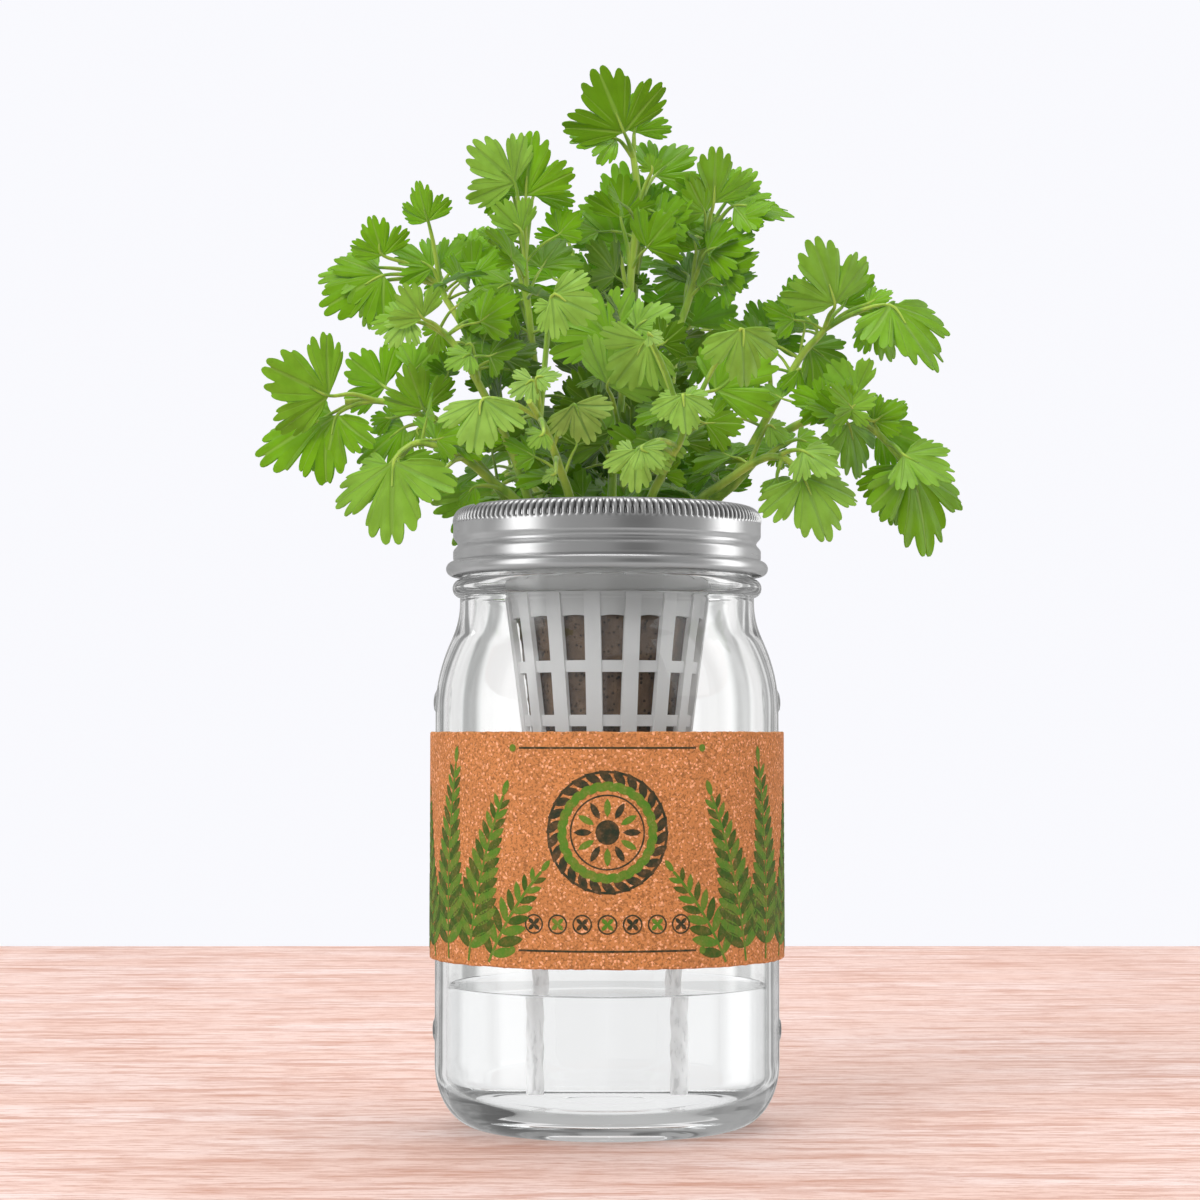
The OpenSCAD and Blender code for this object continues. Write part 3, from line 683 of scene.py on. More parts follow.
def coir_material(colours):
    """Pressed coir with fibres, clumps and dark pits."""
    made, tree = new_tree("coir")
    place = add(tree, "ShaderNodeTexCoord").outputs["Object"]
    holes = add(tree, "ShaderNodeTexVoronoi", {"Vector": place, "Scale": 780.0}).outputs
    some = add(tree, "ShaderNodeSeparateColor", {0: holes["Color"]}).outputs[0]
    pits = maths(tree, "ADD", holes["Distance"], fade(tree, some, 0.55, 0.6))
    fibres = grain(tree, 500, 4.0, (1, 1, 0.5), 0.7)
    clumps = grain(tree, 120, 3.0)
    coir = tuple(colours.coir)
    dark = scaled(coir, 0.25)
    base = mixed(tree, fade(tree, fibres, 0.35, 0.72, 0.5), coir, scaled(coir, 2.1))
    base = mixed(tree, fade(tree, clumps, 0.42, 0.3, 0.6), base, dark)
    base = mixed(tree, fade(tree, pits, 0.4, 0.26, 0.85), base, dark)
    finish_tree(tree, plain(tree, {
        "Base Color": base, "Roughness": 0.95, "Specular IOR Level": 0.1,
        "Normal": bumped(tree, fibres, 0.9, 0.0006),
    }))
    return made


def wick_material(colours):
    """Wet white yarn with painted shade in the creases between its threads, and a faint painted
    glow.
    """
    made, tree = new_tree("wick_yarn")
    relief_and_crease_shade = grain(tree, 700, 3.0, (1, 1, 0.35), 0.6)
    wick = tuple(colours.wick)
    # The yarn is darker where its relief is low, as painted shade in the creases
    base = mixed(tree, fade(tree, relief_and_crease_shade, 0.54, 0.36), wick, scaled(wick, 0.74))
    finish_tree(tree, plain(tree, {
        "Base Color": base, "Roughness": 0.35, "Specular IOR Level": 0.6,
        # A faint glow of the yarn's own colour, as painted light
        "Emission Color": base, "Emission Strength": 0.28,
        "Normal": bumped(tree, relief_and_crease_shade, 0.9, 0.0006),
    }))
    return made


def leaf_material(colours):
    """A leaf blade: veins fan out from its foot, and its tint attribute makes it paler as painted
    light and darker as painted shade.
    """
    made, tree = new_tree("coriander_leaf")
    uv = add(tree, "ShaderNodeUVMap", uv_map="UVMap").outputs[0]
    split = add(tree, "ShaderNodeSeparateXYZ", {0: uv})
    out = split.outputs[1]
    turn = maths(tree, "MULTIPLY", split.outputs[0], 2 * math.pi)
    spread = maths(tree, "MULTIPLY_ADD", maths(tree, "SINE", turn), 0.03, split.outputs[0])

    def vein(count, width, start):
        """A mask of count veins, given their half width as a share of the leaf."""
        at = maths(tree, "FRACT", maths(tree, "MULTIPLY", spread, count))
        off = maths(tree, "ABSOLUTE", maths(tree, "SUBTRACT", at, 0.5))
        off = maths(tree, "MULTIPLY", maths(tree, "MULTIPLY", off, 2.3 / count), out)
        thin = maths(tree, "MULTIPLY_ADD", out, -0.65 * width, width)
        near = maths(tree, "SUBTRACT", 1.0, maths(tree, "DIVIDE", off, thin))
        mask = fade(tree, near, -0.6, 0.6)
        return maths(tree, "MULTIPLY", mask, fade(tree, out, start, start + 0.15))

    main = vein(3.0, 0.024, -0.2)
    side = maths(tree, "MULTIPLY", vein(9.0, 0.013, 0.22), 0.6)
    veins = maths(tree, "MAXIMUM", main, side)
    tint = add(tree, "ShaderNodeAttribute", attribute_name="tint").outputs["Fac"]
    bright = tuple(colours.leaf)
    painted_pale = tuple(colours.painted_lit_leaf)
    # A tint above zero makes the leaf paler, as painted light, and one below zero darker, as
    # painted shade
    base = mixed(tree, tint, bright, painted_pale)
    base = mixed(tree, fade(tree, tint, 0.0, -0.8, 0.75), base, scaled(bright, 0.25))
    patch = grain(tree, 160, 3.0)
    base = mixed(tree, fade(tree, patch, 0.35, 0.7, 0.35), base, scaled(bright, 0.55))
    lit = mixed(tree, tint, (0.34, 0.52, 0.09, 1), (0.1, 0.26, 0.05, 1))
    base = mixed(tree, maths(tree, "MULTIPLY", veins, 0.6), base, lit)
    height = maths(tree, "MULTIPLY_ADD", veins, -0.8, maths(tree, "MULTIPLY", patch, 0.6))
    body = plain(tree, {
        "Base Color": base, "Roughness": 0.36, "Specular IOR Level": 0.35,
        "Normal": bumped(tree, height, 0.6, 0.0005),
    })
    glow = mixed(tree, 1.0, base, (1.35, 1.5, 0.5, 1), "MULTIPLY")
    through = add(tree, "ShaderNodeBsdfTranslucent", {"Color": glow}).outputs[0]
    finish_tree(tree, blended(tree, 0.3, body, through))
    return made


def stem_material(colours):
    """A soft green stem with darker streaks along it."""
    made, tree = new_tree("coriander_stem")
    streak = grain(tree, 220, 2.0, (1, 1, 0.2))
    stem = tuple(colours.stem)
    dark = (stem[0] * 0.5, stem[1] * 0.68, stem[2] * 0.4, 1)
    base = mixed(tree, fade(tree, streak, 0.4, 0.65), stem, dark)
    finish_tree(tree, plain(tree, {
        "Base Color": base, "Roughness": 0.38, "Subsurface Weight": 0.15,
        "Subsurface Radius": (0.001, 0.002, 0.0005),
    }))
    return made


def floor_material(colours):
    """Pale wood, whose grain runs across the picture."""
    made, tree = new_tree("table_top")
    broad = grain(tree, 7, 3.0, (1, 3.5, 1), 0.55)
    streaks = grain(tree, 24, 8.0, (0.55, 5, 1), 0.72)
    fine = grain(tree, 110, 6.0, (0.6, 5, 1), 0.8)
    floor = tuple(colours.floor)
    brown = (floor[0] * 0.66, floor[1] * 0.42, floor[2] * 0.32, 1)
    white = (0.88, 0.71, 0.67, 1)
    base = mixed(tree, fade(tree, broad, 0.36, 0.68), floor, white)
    base = mixed(tree, fade(tree, streaks, 0.47, 0.62, 0.7), base, brown)
    base = mixed(tree, fade(tree, fine, 0.48, 0.6, 0.72), base, brown)
    finish_tree(tree, plain(tree, {
        "Base Color": base, "Roughness": 0.6, "Specular IOR Level": 0.25,
    }))
    return made


# ---- Jar ----


def jar_profile():
    """The jar's section: up its outside and down its inside."""
    outside = BASE_UNDER + bow(36.5, BODY_R, HEEL_H, 0.1, 4, 90, 24)
    # The steps are short where a nub is raised on the wall
    for low, high, step in ((HEEL_H, 22, 1.3), (22, 32, 0.7), (32, 110, 13)):
        outside += upright(BODY_R, low, high, step) + [(BODY_R, high)]
    outside += upright(BODY_R, 110, SHOULDER_Z, 0.8)
    outside += shoulder(BODY_R, NECK_R, 14)
    half = BEAD_H / 2
    outside += bow(NECK_R, BEAD_R, BEAD_Z, BEAD_Z - half, 0, 90, 7)
    outside += bow(NECK_R, BEAD_R, BEAD_Z, BEAD_Z + half, 90, 0, 7)[1:]
    outside += [(FINISH_R, FINISH_Z)] + upright(FINISH_R, FINISH_Z, LIP_Z, 0.55)
    outside += [(FINISH_R, LIP_Z)]
    outside += arc(FINISH_R - 1, JAR_H - 1, 1, 25, 90, 4)
    inside = arc(MOUTH_R + 1, JAR_H - 1, 1, 90, 180, 4) + upright(MOUTH_R, LIP_Z, RIPPLE_Z, 6)
    # Faint ripples, as in blown glass
    ripples = [RIPPLE_Z - 0.4 * i for i in range(24)]
    inside += [(MOUTH_R + 0.2 * math.sin(z * 1.9), z) for z in ripples]
    inside += reversed(shoulder(BODY_R - WALL, MOUTH_R, 14))
    inside += upright(BODY_R - WALL, SHOULDER_Z, 21, 14)
    inside += reversed(bow(
        BODY_R - WALL - HEEL_IN, BODY_R - WALL, FLOOR_Z + HEEL_IN, FLOOR_Z - 0.4, 0, 90, 16
    ))
    return outside + inside + BASE_INSIDE


def build_jar(sizes):
    """The jar's mesh, with its nubs and its thread raised on it."""
    bm = turned_piece(jar_profile(), 256)
    for v in bm.verts:
        x, y, z = v.co / MM
        r = math.hypot(x, y)
        if r > BODY_R - 1 and abs(y) < 5:
            for height in NUB_HEIGHTS:
                d = math.hypot(y, z - height) / NUB_R
                if d < 1:
                    v.co = moved_out(x, y, z, sizes.nub_out / MM * (1 - d * d) ** 0.5)
        elif r > 41 and z > 156:
            turn = math.atan2(y, x) / (2 * math.pi) + 0.5
            for start in THREAD_STARTS:
                d = abs(z - start - THREAD_RISE * turn) / THREAD_HALF
                if d < 1:
                    crest = math.cos(d * math.pi / 2) ** 0.7
                    v.co = moved_out(x, y, z, sizes.thread_out / MM * crest)
    return bm


class PLANTER_OT_jar(bpy.types.Operator):
    """Makes the glass jar and the water in it"""

    bl_idname = "planter.jar"
    bl_label = "Glass jar"

    def execute(self, context):
        glass = clear_material("jar_glass", (0.985, 0.992, 0.988), 1.47, (0.975, 0.98, 0.98))
        add_piece("glass_jar_shell", build_jar(context.scene.planter_sizes), "jar",
            ["glass_jar"], "jar_glass", glass, sharp=60)
        r = BODY_R - WALL - WATER_GAP
        low = FLOOR_Z + WATER_GAP
        skin = [(0, low + 0.1), (6, low + 0.1), (9, low)]
        for ring, tall in ((12, 0.22), (29, 0.3), (34, 0.16)):
            skin += [(ring - 1.8, low), (ring - 0.9, low + tall / 2), (ring, low + tall)]
            skin += [(ring + 0.9, low + tall / 2), (ring + 1.6, low)]
        skin += bow(r - HEEL_IN, r, low + HEEL_IN, low, 0, 90, 12)
        skin += [(r, WATER_Z - 8), (r, WATER_Z - 0.4)]
        skin += [(r - 0.3, WATER_Z - 0.02), (r - 0.7, WATER_Z - 0.35), (r - 1.6, WATER_Z - 0.62)]
        skin += [(r - 4, WATER_Z - 0.75), (0, WATER_Z - 0.75)]
        water = clear_material("water", (0.985, 0.993, 1.0), 1.08, (0.98, 0.985, 0.99))
        add_piece("water_fill", turned_piece(skin, 192), "jar", ["nutrient_water"], "water", water)
        return {"FINISHED"}


# ---- Cork sleeve and its print ----


def wrap(verts, out):
    """Lays flat vertices, in millimetres from the front, round the sleeve and out from it."""
    for v in verts:
        a = v.co.x / PRINT_R
        high = Vector((0, 0, v.co.y * MM))
        v.co = Vector((math.sin(a), -math.cos(a), 0)) * (PRINT_R + out) * MM + high


def print_patch(bm, u, z, angle, size, half, steps, out):
    """Prints a patch from its foot at u, z, whose half width at share t of its size is half(t)."""
    place = Matrix.Translation((u, z, 0)) @ Matrix.Rotation(math.radians(angle), 4, "Z")
    verts = bmesh.ops.create_grid(bm, x_segments=steps, y_segments=1, size=0.5)["verts"]
    for v in verts:
        t = v.co.x + 0.5
        v.co = place @ Vector((t * size, math.copysign(half(t) + 0.02, v.co.y), 0))
    wrap(verts, out)


def print_leaf(bm, u, z, angle, size, width, out=0.0):
    """Prints a pointed leaf with its foot at u, z, which points angle degrees up from the right."""
    print_patch(bm, u, z, angle, size, lambda t: width / 2 * max(0, 4 * t * (1 - t)) ** 0.75,
        max(5, round(size)), out)


def print_line(bm, points, width, out=0.0):
    """Prints a thin line through flat points."""
    x, y = points[-1][0] - points[0][0], points[-1][1] - points[0][1]
    side = Vector((-y, x, 0)).normalized() * width / 2
    start = Vector((*points[0], 0))
    verts = [bm.verts.new(start - side), bm.verts.new(start + side)]
    edge = bm.edges.new(verts)
    drawn = list(verts)
    for a, b in zip(points, points[1:]):
        verts, (edge,) = drawn_out(bm, [edge])
        bmesh.ops.translate(bm, vec=(b[0] - a[0], b[1] - a[1], 0), verts=verts)
        drawn += verts
    wrap(drawn, out)


def print_ring(bm, u, z, r, width, steps=64):
    """Prints a ring round u, z."""
    ring = bmesh.ops.create_circle(bm, cap_ends=False, segments=steps, radius=r)["verts"]
    edges = [e for v in ring for e in v.link_edges if v == e.verts[0]]
    inner, _ = drawn_out(bm, edges)
    bmesh.ops.scale(bm, vec=[(r - width) / r] * 3, verts=inner)
    bmesh.ops.translate(bm, vec=(u, z, 0), verts=ring + inner)
    wrap(ring + inner, 0.0)


def print_disc(bm, u, z, r):
    """Prints a disc round u, z."""
    print_patch(bm, u - r, z, 0, 2 * r, lambda t: r * max(0, 4 * t * (1 - t)) ** 0.5, 16, 0.0)


def print_frond(dark, green, u, z, height, lean, bend, pairs, size, out):
    """Prints a feathered frond: a bent rib with pairs of narrow leaves along it."""
    def at(t):
        """The rib's place at share t of its length."""
        a = math.radians(lean + bend * t)
        return u + height * t * math.sin(a), z + height * t * math.cos(a)

    print_line(green, [at(i / 24) for i in range(25)], 0.8, out + 0.01)
    for i in range(pairs):
        t = 0.08 + 0.9 * i / pairs
        long_ = size * (1 - 0.66 * t) * (0.7 + 0.3 * min(1, 6 * t))
        x, y = at(t)
        along = 90 - lean - 1.5 * bend * t
        for k, turn in enumerate((56, -56)):
            bm = dark if (i + k) % 2 == 0 else green
            print_leaf(bm, x, y, along + turn * (1 - 0.4 * t), long_, long_ * 0.34, out + 0.006 * k)
    x, y = at(1)
    print_leaf(green, x, y, 90 - lean - 1.5 * bend, size * 0.4, size * 0.16, out + 0.015)


def polar(r, degrees):
    """A flat point at a distance from the origin, in a direction up from the right."""
    a = math.radians(degrees)
    return r * math.cos(a), r * math.sin(a)


def print_wreath(dark, green):
    """Prints a round wreath of two rows of leaves, with a flower in its middle."""
    for r, width in ((16.6, 0.7), (10.2, 0.45)):
        print_ring(dark, 0, WREATH_Z, r, width)
    for i in range(26):
        a = 360 * i / 26
        for bm, r, turn in ((dark, 13.3, 55), (green, 13.5, 122)):
            x, y = polar(r, a)
            out = 0.005 if bm is dark else 0.01
            print_leaf(bm, x, WREATH_Z + y, a + turn, 5.2, 2.3, out)
    for i in range(12):
        a = 360 * i / 12
        x, y = polar(4.2, a)
        print_leaf((dark, green)[i % 2], x, WREATH_Z + y, a, 4.9, 1.8, 0.005)
    print_disc(dark, 0, WREATH_Z, 3.3)


def print_rows(dark, green):
    """Prints two thin rules with dots at their ends and a row of small rings between them."""
    for z in RULE_HEIGHTS:
        print_line(dark, [(-25 + 50 * i / 40, z) for i in range(41)], 0.55)
        for side in (-1, 1):
            print_disc(green, side * 27, z, 1.0)
    for i in range(-3, 4):
        x = i * 6.8
        print_ring(dark, x, RINGS_Z, 2.7, 0.45, steps=32)
        for turn in (45, 135, 225, 315):
            print_leaf((green, dark)[i % 2], x, RINGS_Z, turn, 2.2, 1.1, 0.005)


class PLANTER_OT_sleeve(bpy.types.Operator):
    """Makes the cork sleeve and the plain print on it"""

    bl_idname = "planter.sleeve"
    bl_label = "Cork sleeve"

    def execute(self, context):
        colours = context.scene.planter_colours
        outer = SLEEVE_R + SLEEVE_T
        low, high = SLEEVE_Z, SLEEVE_Z + SLEEVE_H
        section = [(SLEEVE_R, low), (outer - 0.3, low), (outer, low + 0.3)]
        section += upright(outer, low + 0.3, high - 0.3, 4)
        section += [(outer, high - 0.3), (outer - 0.3, high), (SLEEVE_R, high)]
        gap = SEAM_W / SLEEVE_R
        bm = turned_piece(section, 256, 2 * math.pi - gap)
        half = Matrix.Rotation(math.pi + gap / 2, 4, "Z")
        bmesh.ops.transform(bm, matrix=half, verts=bm.verts)
        for v in bm.verts:
            z = v.co.z / MM
            if z < low + 0.4 or z > high - 0.4:
                rough = abs(noise.noise(v.co * 700)) * 0.35 + abs(noise.noise(v.co * 240)) * 0.3
                v.co.z += (rough if z < low + 0.4 else -rough) * MM
        add_piece("cork_sleeve_sheet", bm, "jar", ["cork_sleeve"], "cork", cork_material(colours))

        dark, green, deep = bmesh.new(), bmesh.new(), bmesh.new()
        print_wreath(dark, green)
        print_rows(dark, green)
        for side in (-1, 1):
            for k, (foot, lean, tall) in enumerate(FRONDS):
                print_frond(deep, green, side * foot, FRONDS_Z, tall, side * lean, side * -8,
                    round(tall / 3.6) + k % 2, 7 + tall / 10, 0.012 * k)
        for name, bm, ink in (
            ("dark", dark, colours.dark_print), ("deep", deep, colours.deep_print),
            ("green", green, colours.green_print),
        ):
            bmesh.ops.recalc_face_normals(bm, faces=bm.faces)
            for f in bm.faces:
                middle = f.calc_center_median()
                if f.normal.x * middle.x + f.normal.y * middle.y < 0:
                    f.normal_flip()
            add_piece(f"cork_print_{name}", bm, "jar", [], "cork",
                print_material(f"{name}_print", ink, colours))
        return {"FINISHED"}


# ---- Screw band ----


def band_wall(d):
    """Outer radius of the band's wall at depth d below its top."""
    groove = min(1, abs(d - GROOVE_DEPTH) / 2.2)
    waist = max(0, 1 - (WALL_DEPTH - d) / 1.8)
    return BAND_R - 1.3 * (1 + math.cos(math.pi * groove)) / 2 - 0.6 * waist * waist


def band_profile():
    """The band's section: out over its top, down its wall, round its curl and back up."""
    depths = [CORNER_R + (WALL_DEPTH - CORNER_R) * i / 30 for i in range(31)]
    section = [(HOLE_R, BAND_TOP - BAND_T), (HOLE_R, BAND_TOP)]
    corner = BAND_R - CORNER_R, BAND_TOP - CORNER_R
    curl = SKIRT_R - CURL_R, BAND_Z + CURL_R
    section += arc(*corner, CORNER_R, 90, 0, 14)
    section += [(band_wall(d), BAND_TOP - d) for d in depths]
    section += arc(*curl, CURL_R, 100, -80, 16)
    section += arc(*curl, CURL_R - BAND_T, -80, 100, 12)
    section += [(band_wall(d) - BAND_T, BAND_TOP - d) for d in reversed(depths)]
    return section + arc(*corner, CORNER_R - BAND_T, 0, 90, 8)


def cut_knurl(bm, sizes):
    """Cuts the slots of the knurl into the band's upper corner, and marks them for painted shade.
    """
    slot_shade = bm.verts.layers.float.new("slot_shade")
    centre = BAND_R - CORNER_R
    for v in bm.verts:
        x, y, z = v.co / MM
        r = math.hypot(x, y)
        d = BAND_TOP - z
        if not KNURL_TOP <= d <= KNURL_LOW or r <= centre:
            continue
        # The inner skin of the wall and of the corner stays smooth
        out = r - BAND_R if d > CORNER_R else math.hypot(r - centre, CORNER_R - d) - CORNER_R
        if out <= -0.1:
            continue
        ends = min(1, (d - KNURL_TOP) / 0.5, (KNURL_LOW - d) / 0.5)
        phase = (math.atan2(y, x) / (2 * math.pi) * sizes.slots) % 1
        slot = max(0, 1 - min(phase, 1 - phase) * 3.2)
        # How much painted shade the slots get
        v[slot_shade] = min(1, 1.6 * slot) * ends
        ridge = 0.16 * (1 - math.cos(2 * math.pi * phase)) / 2
        dip = (sizes.slot_in / MM * slot ** 0.8 - ridge) * ends
        lean = min(1, d / CORNER_R)
        v.co += Vector((-x / r * lean, -y / r * lean, -(1 - lean) * 0.6)) * dip * MM


class PLANTER_OT_band(bpy.types.Operator):
    """Makes the knurled screw band with its groove and open curl"""

    bl_idname = "planter.band"
    bl_label = "Screw band"

    def execute(self, context):
        sizes = context.scene.planter_sizes
        bm = turned_piece(band_profile(), sizes.slots * SLOT_STEPS)
        cut_knurl(bm, sizes)
        metal = metal_material(context.scene.planter_colours)
        add_piece("screw_band_shell", bm, "band", ["screw_band"], "tinplate", metal, sharp=50)
        return {"FINISHED"}


# ---- Net cup, plug and wicks ----


def scallop(angle):
    """One round crest for each window of the net cup, from 0 behind a rib to 1."""
    return abs(math.sin(angle * CUP_LOBES + CUP_PHASE)) ** 0.7


def plug_r(z):
    """The plug's radius at height z, a little inside the cup's ribs."""
    return CUP_FLOOR_R + (CUP_R - CUP_FLOOR_R) * (z - CUP_Z) / (RIM_Z - CUP_Z) - 2.8


class PLANTER_OT_cup(bpy.types.Operator):
    """Finishes the net cup with softened edges and its plastic"""

    bl_idname = "planter.cup"
    bl_label = "Net cup"

    def execute(self, context):
        colours = context.scene.planter_colours
        collar = [(plug_r(COLLAR_LOW) + out, COLLAR_LOW) for out in (1.1, 2.2)]
        collar += [(plug_r(COLLAR_TOP) + out, COLLAR_TOP) for out in (2.2, 1.1)]
        bm = turned_piece(collar, 256)
        for v in bm.verts:
            if v.co.z < (COLLAR_LOW + 1) * MM:
                v.co.z = (SCALLOP_Z + scallop(math.atan2(v.co.y, v.co.x))) * MM
        # The inner collar's plastic is darker than the cup's, as painted shade
        add_piece("net_cup_inner_collar", bm, "insert", [], "white_plastic",
            plastic_material(colours, 0.9))
        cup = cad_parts["net_cup"]
        cup.data.materials.clear()
        cup.data.materials.append(plastic_material(colours, 1.0))
        edge = cup.modifiers.new("soft_edges", "BEVEL")
        edge.width = 0.00025
        edge.segments = 2
        edge.limit_method = "ANGLE"
        edge.angle_limit = math.radians(40)
        return {"FINISHED"}


class PLANTER_OT_plug(bpy.types.Operator):
    """Makes the coir plug with a torn, wavy top"""

    bl_idname = "planter.plug"
    bl_label = "Grow plug"

    def execute(self, context):
        sizes = context.scene.planter_sizes
        walls = [PLUG_Z + (PLUG_TOP - 1 - PLUG_Z) * i / 60 for i in range(61)]
        section = [(0, PLUG_Z)] + [(r, PLUG_Z) for r in (6, 12, 16)]
        section += [(plug_r(z), z) for z in walls]
        top = plug_r(PLUG_TOP)
        section += [(top - 0.5, PLUG_TOP - 0.3), (top - 1.6, PLUG_TOP), (top - 3, PLUG_TOP - 0.8)]
        section += [(r, PLUG_DISH_Z) for r in (22, 18, 14, 10, 6, 3, 0)]
        bm = turned_piece(section, 200)
        for v in bm.verts:
            x, y, z = v.co / MM
            if math.hypot(x, y) < 1 or z < PLUG_Z + 0.5:
                continue
            lump = noise.noise(v.co * 260) * 0.6 + noise.noise(v.co * 800) * 0.4 - 0.35
            if z > WAVES_Z:
                crest = scallop(math.atan2(y, x)) * 0.5 - 0.5
                crest += noise.noise(Vector((x, y, 3)) * 0.5) * 0.4 - 0.1
                z += (z - WAVES_Z) / (PLUG_TOP - WAVES_Z) * crest
            v.co = moved_out(x, y, min(z, PLUG_TOP), sizes.pit_in / MM * lump)
        coir = coir_material(context.scene.planter_colours)
        add_piece("grow_plug_sponge", bm, "plant", ["grow_plug"], "coir", coir, sharp=80)
        return {"FINISHED"}


class PLANTER_OT_wicks(bpy.types.Operator):
    """Makes the two twisted wicks that hang in the water"""

    bl_idname = "planter.wicks"
    bl_label = "Wicks"

    def execute(self, context):
        sizes = context.scene.planter_sizes
        yarn = wick_material(context.scene.planter_colours)
        for name, side in (("left", -1), ("right", 1)):
            route = [Vector((side * (WICK_X + x), 0, z)) * MM for x, z in WICK_ROUTE]
            shares = [k / WICK_STEPS for k in range(WICK_STEPS)]
            line = [a.lerp(b, t) for a, b in zip(route, route[1:]) for t in shares] + [route[-1]]
            bm = bmesh.new()
            radii = [sizes.wick_d / 2] * len(line)
            rings = add_bar(bm, line, radii, 18)
            for i, (ring, place) in enumerate(zip(rings, frames_along(line, radii))):
                back = place.inverted()
                for v in ring:
                    x, y, _ = back @ v.co
                    strand = math.cos(3 * math.atan2(y, x) + 0.5 * i)
                    rough = noise.noise(v.co * 900) * 0.05
                    v.co = line[i] + (v.co - line[i]) * (0.92 + 0.08 * strand + rough)
            node = f"wick_{name}"
            piece = add_piece(f"{node}_rope", bm, "insert", [node], "wick_yarn", yarn)
        return {"FINISHED"}


# ---- Plant ----


def turned(p, angle, k):
    """A point turned about the jar's axis, with its distance from the axis scaled."""
    a = math.radians(angle)
    return Vector((
        k * (p[0] * math.cos(a) - p[1] * math.sin(a)),
        k * (p[0] * math.sin(a) + p[1] * math.cos(a)),
        p[2],
    ))


def stem_path(shoot, angle, k):
    """A stem's points from the plug through the cup's mouth and on, in millimetres."""
    foot = turned((*shoot[1], ROOT_Z), angle, 1)
    route = [turned(p, angle, k) for p in shoot[2]]
    low = foot + Vector((0, 0, 7))
    way = low + (route[0] - low) * ((THROAT_Z - low.z) / (route[0].z - low.z))
    draw = min(1, THROAT_R / way.xy.length)
    throat = Vector((way.x * draw, way.y * draw, THROAT_Z))
    return [foot] + smooth_path([foot + Vector((0, 0, 2)), low, throat, *route], 4)


def lobed(t, depth, power):
    """Height of a rounded lobe at t, which runs from -0.5 to 0.5 across it."""
    return 1 - depth + depth * abs(math.cos(math.pi * t)) ** power


def across(u, count):
    """Where share u of a leaf's spread lies on one of its count lobes, from -0.5 to 0.5."""
    return (u + 0.03 * math.sin(2 * math.pi * u)) * count % 1 - 0.5


def leaf_reach(u, shape):
    """Distance from a leaf's foot to its edge at share u of its spread."""
    s = 2 * u - 1
    lobe, part, tooth = across(u, 3), across(u, 9), across(u, 18)
    reach = (1 - 0.24 * s * s) * (1 - 0.5 * lobe * lobe) * lobed(lobe, shape[0], 0.26)
    return reach * lobed(part, shape[1], 0.45) * lobed(tooth, 0.15, 0.5)


def leaf_blade(name, columns, rows, shape, thick):
    """A leaf of length 1 with its foot at the origin, which points along Y and faces up."""
    bm = bmesh.new()
    layer = bm.loops.layers.uv.new("UVMap")
    bmesh.ops.create_grid(bm, x_segments=columns, y_segments=rows, size=0.5)
    for f in bm.faces:
        for corner in f.loops:
            corner[layer].uv = (corner.vert.co.x + 0.5, corner.vert.co.y + 0.5)
    for v in bm.verts:
        u, w = v.co.x + 0.5, v.co.y + 0.5
        a = (2 * u - 1) * LEAF_SPREAD * (1.26 + 0.08 * w)
        r = w * leaf_reach(u, shape)
        height = -0.13 * r * r + 0.055 * r * abs(math.sin(math.pi * across(u, 3)))
        height += 0.035 * w * w * math.sin(7 * a + 1) + 0.02 * w ** 3 * math.sin(19 * a)
        v.co = Vector((r * math.sin(a), r * math.cos(a), height))
    bmesh.ops.remove_doubles(bm, verts=bm.verts, dist=1e-4)
    bmesh.ops.recalc_face_normals(bm, faces=bm.faces)
    if sum(f.normal.z for f in bm.faces) < 0:
        bmesh.ops.reverse_faces(bm, faces=bm.faces)
    bmesh.ops.solidify(bm, geom=bm.faces[:], thickness=thick)
    return mesh_of(name, bm)


def add_leaf(bm, blade, foot, tip, face, tint, curl, box):
    """Adds a copy of a blade from foot to tip, in millimetres, that faces face."""
    size = (tip - foot).length
    along = (tip - foot) / size
    up = (face - face.dot(along) * along).normalized()
    place = Matrix((along.cross(up), along, up)).transposed().to_4x4()
    first, faces = len(bm.verts), len(bm.faces)
    bm.from_mesh(blade)
    bm.verts.ensure_lookup_table()
    bm.faces.ensure_lookup_table()
    layer = bm.verts.layers.float["tint"]
    low, high = box
    for v in bm.verts[first:]:
        x, y, z = v.co
        z += curl[0] * x * y + curl[1] * x * x + curl[2] * y * y
        at = (foot + place @ Vector((x, y, z)) * size) * MM
        v.co = [min(max(c, a), b) for c, a, b in zip(at, low, high)]
        v[layer] = tint
    for f in bm.faces[faces:]:
        f.material_index = 1


def add_stalk(bm, root, foot, neck, thick):
    """Adds a thin stalk that rises from root to a leaf's foot and runs on into its blade."""
    rise = Vector((0, 0, (foot - root).length / 12))
    line = smooth_path([root, (root + foot) / 2 + rise, foot, neck], 4)
    n = len(line) - 1
    radii = [thick * (1 - 0.72 * (i / n) ** 1.5) * MM for i in range(n + 1)]
    add_bar(bm, [p * MM for p in line], radii, 7)


def inner_place(path, rng):
    """A small inner leaf's root on the stem, its foot and its tip."""
    n = len(path) - 1
    root = path[rng.randint(int(n * 0.38), int(n * 0.93))]
    way = Vector((rng.uniform(-1, 1), rng.uniform(-1, 1), rng.uniform(-0.15, 0.9)))
    way.normalize()
    if root.xy.length > INNER_REACH:
        way = (way - Vector((root.x, root.y, 0)).normalized() * 0.9).normalized()
    foot = root + way * rng.uniform(5, 15)
    lean = (way + Vector((rng.uniform(-0.5, 0.5), rng.uniform(-0.4, 0.2), 0.2))).normalized()
    return root, foot, foot + lean * rng.uniform(8, 14)


